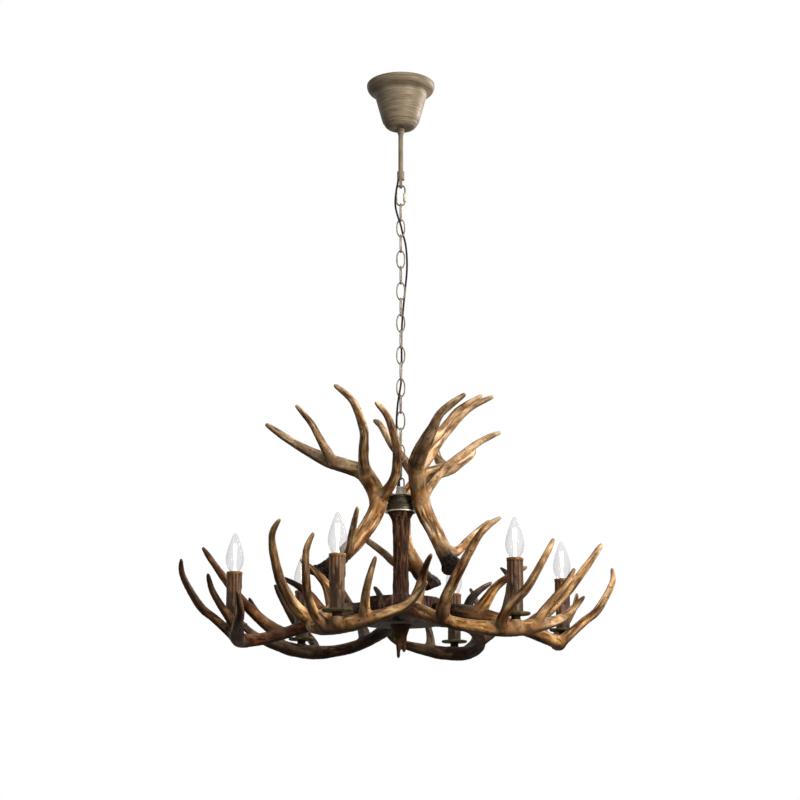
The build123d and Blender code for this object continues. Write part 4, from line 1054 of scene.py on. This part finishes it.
class ChandelierBulbs(bpy.types.Operator):
    """Makes the six bulbs with their caps and filaments"""
    bl_idname = "chandelier.bulbs"
    bl_label = "Bulbs"

    def execute(self, context):
        sizes = context.scene.chandelier_candle
        foot = (sizes.height - sizes.drop) / MM + DISH_TOP - 2 + 0.2
        radius, tall = sizes.bulb_diameter / MM / 2, sizes.bulb_length / MM
        outside = [(row.y * radius, foot + row.x * tall) for row in refine(BULB_OUTLINE, 9)]
        inside = [(max(width - GLASS_WALL, 0.12), min(height + 0.3, foot + tall - 1.0))
                  for width, height in outside]
        inside[0] = (inside[0][0], foot + 1)
        glass = to_mesh("lamp_glass", lathe(outside + inside[::-1], 64))
        outline = [(0.2, foot), (7, foot), (7, foot - 3)]
        for thread in range(4):
            crest = foot - THREAD_PITCH * thread
            outline += [(6.7, crest - 4), (7, crest - 5.6)]
        outline += [(6.6, foot - 19), (3, foot - 23.6), (0.2, foot - 24)]
        cap = to_mesh("lamp_cap", lathe(rounded(outline, 0.5), 36))
        outline = [(radius, foot + height) for radius, height in LAMP_STEM]
        stem = to_mesh("lamp_stem", lathe(rounded(outline, 0.8), 20))
        sticks = []
        for step in range(4):
            way = Vector((cos(pi / 4 + pi / 2 * step), sin(pi / 4 + pi / 2 * step)))
            low = Vector((*(way * 2.0), foot + 21.5, 1.15))
            high = Vector((*(way * 3.6), foot + 55, 1.15))
            line = [low.lerp(high, share / 6) for share in range(7)]
            line[0].w = line[-1].w = 0.6
            sticks.append(line)
        wires = tubes("lamp_sticks", sticks, 2)
        shape = bmesh.new()
        shape.from_mesh(stem)
        shape.from_mesh(wires)
        wires = to_mesh("lamp_wires", shape)
        for number, place in enumerate(candle_places(), 1):
            for name, mesh, key, slot, sharp in (
                    ("glass", glass, "glass", "bulb_glass", 80),
                    ("cap", cap, "brass_cap", "bulb_cap", 60),
                    ("filaments", wires, "filament", "filament", 50)):
                finished(f"lamp_{name}_{number}", copied(mesh, place), key,
                         [f"bulb_{name}_{number}"], slot, sharp, body=f"bulb_{number}")
        for mesh in (glass, cap, stem, wires):
            bpy.data.meshes.remove(mesh)
        return {"FINISHED"}


class ChandelierFittings(bpy.types.Operator):
    """Gives the CAD nodes whose shape is right their materials"""
    bl_idname = "chandelier.fittings"
    bl_label = "Fittings"

    def execute(self, context):
        for key, nodes in (
                ("stem_bronze", ("stem", "stem_coupling")),
                ("zinc", ("ceiling_bracket", "stem_nuts", "hub_nut", "arm_studs", "arm_nuts",
                          "upper_studs", "tie_rod", "candle_nipples", "grub_screw")),
                ("white", ("terminal_block",)),
                ("black", ("lampholders",))):
            for node in nodes:
                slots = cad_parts[node].data.materials
                slots.clear()
                slots.append(material(key))
        return {"FINISHED"}


class ChandelierStage(bpy.types.Operator):
    """Makes the camera, the floor and the lights"""
    bl_idname = "chandelier.stage"
    bl_label = "Stage"

    def execute(self, context):
        look = context.scene.chandelier_stage
        scene = context.scene
        lens = bpy.data.cameras.new("front_camera")
        lens.lens = look.lens
        lens.sensor_width = 36
        camera = bpy.data.objects.new("front_camera", lens)
        camera.location = CAMERA_PLACE
        camera.rotation_euler = (pi / 2 + look.tilt, 0, 0)
        scene.collection.objects.link(camera)
        scene.camera = camera
        shape = bmesh.new()
        bmesh.ops.create_grid(shape, x_segments=40, y_segments=40, size=9)
        bmesh.ops.translate(shape, verts=shape.verts, vec=(0, 0, FLOOR_LEVEL))
        mesh = bpy.data.meshes.new("floor")
        shape.to_mesh(mesh)
        shape.free()
        finished("floor", mesh, "paper")
        for number, (power, size, spot, code) in enumerate(LAMPS, 1):
            lamp = bpy.data.lights.new(f"lamp_{number}", "AREA")
            lamp.energy = power
            lamp.size = size
            lamp.color = linear(code)[:3]
            holder = bpy.data.objects.new(lamp.name, lamp)
            holder.location = spot
            aim = Vector(LAMP_AIM) - Vector(spot)
            holder.rotation_euler = aim.to_track_quat("-Z", "Y").to_euler()
            scene.collection.objects.link(holder)
        world = bpy.data.worlds.new("studio")
        world.use_nodes = True
        tree = world.node_tree
        strength = add(tree, "MapRange", {
            "Value": seen_ray(tree), "To Min": look.sky, "To Max": 1.0})
        background = tree.nodes["Background"]
        background.inputs["Color"].default_value = (1, 1, 1, 1)
        tree.links.new(strength, background.inputs["Strength"])
        scene.world = world
        scene.view_settings.view_transform = "Standard"
        return {"FINISHED"}


class ChandelierPanel(bpy.types.Panel):
    """Sidebar panel with the settings and one button for each group of pieces"""
    bl_idname = "VIEW3D_PT_chandelier"
    bl_label = "Antler chandelier"
    bl_space_type = "VIEW_3D"
    bl_region_type = "UI"
    bl_category = "Chandelier"

    def draw(self, context):
        for name in SETTINGS:
            box = self.layout.box()
            group = getattr(context.scene, name)
            for key in group.bl_rna.properties.keys():
                if key not in ("rna_type", "name"):
                    box.prop(group, key)
        for operator in OPERATORS:
            self.layout.operator(operator.bl_idname)


SETTINGS = {
    "chandelier_antlers": AntlerLook, "chandelier_finial": AntlerLook,
    "chandelier_chain": ChainSizes, "chandelier_candle": CandleSizes,
    "chandelier_bark": BarkLook, "chandelier_colours": Colours,
    "chandelier_stage": StageSettings,
}
OPERATORS = (
    ChandelierStage, ChandelierCord, ChandelierLowerAntlers, ChandelierUpperAntlers,
    ChandelierColumn, ChandelierCollar, ChandelierCanopy, ChandelierChain, ChandelierCandles,
    ChandelierBulbs, ChandelierFittings,
)


def register():
    for entry in (*dict.fromkeys(SETTINGS.values()), *OPERATORS, ChandelierPanel):
        bpy.utils.register_class(entry)
    for name, group in SETTINGS.items():
        setattr(bpy.types.Scene, name, bpy.props.PointerProperty(type=group))


def unregister():
    for name in SETTINGS:
        delattr(bpy.types.Scene, name)
    for entry in (ChandelierPanel, *OPERATORS, *dict.fromkeys(SETTINGS.values())):
        bpy.utils.unregister_class(entry)


def build():
    """Registers the add-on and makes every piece."""
    register()
    finial = bpy.context.scene.chandelier_finial
    finial.voxel = 1.5 * MM
    finial.smoothing = 2
    bpy.ops.chandelier.stage()
    bpy.ops.chandelier.cord()
    bpy.ops.chandelier.lower_antlers()
    bpy.ops.chandelier.upper_antlers()
    bpy.ops.chandelier.column()
    bpy.ops.chandelier.collar()
    bpy.ops.chandelier.canopy()
    bpy.ops.chandelier.chain()
    bpy.ops.chandelier.candles()
    bpy.ops.chandelier.bulbs()
    bpy.ops.chandelier.fittings()


if __name__ == "__main__":
    build()
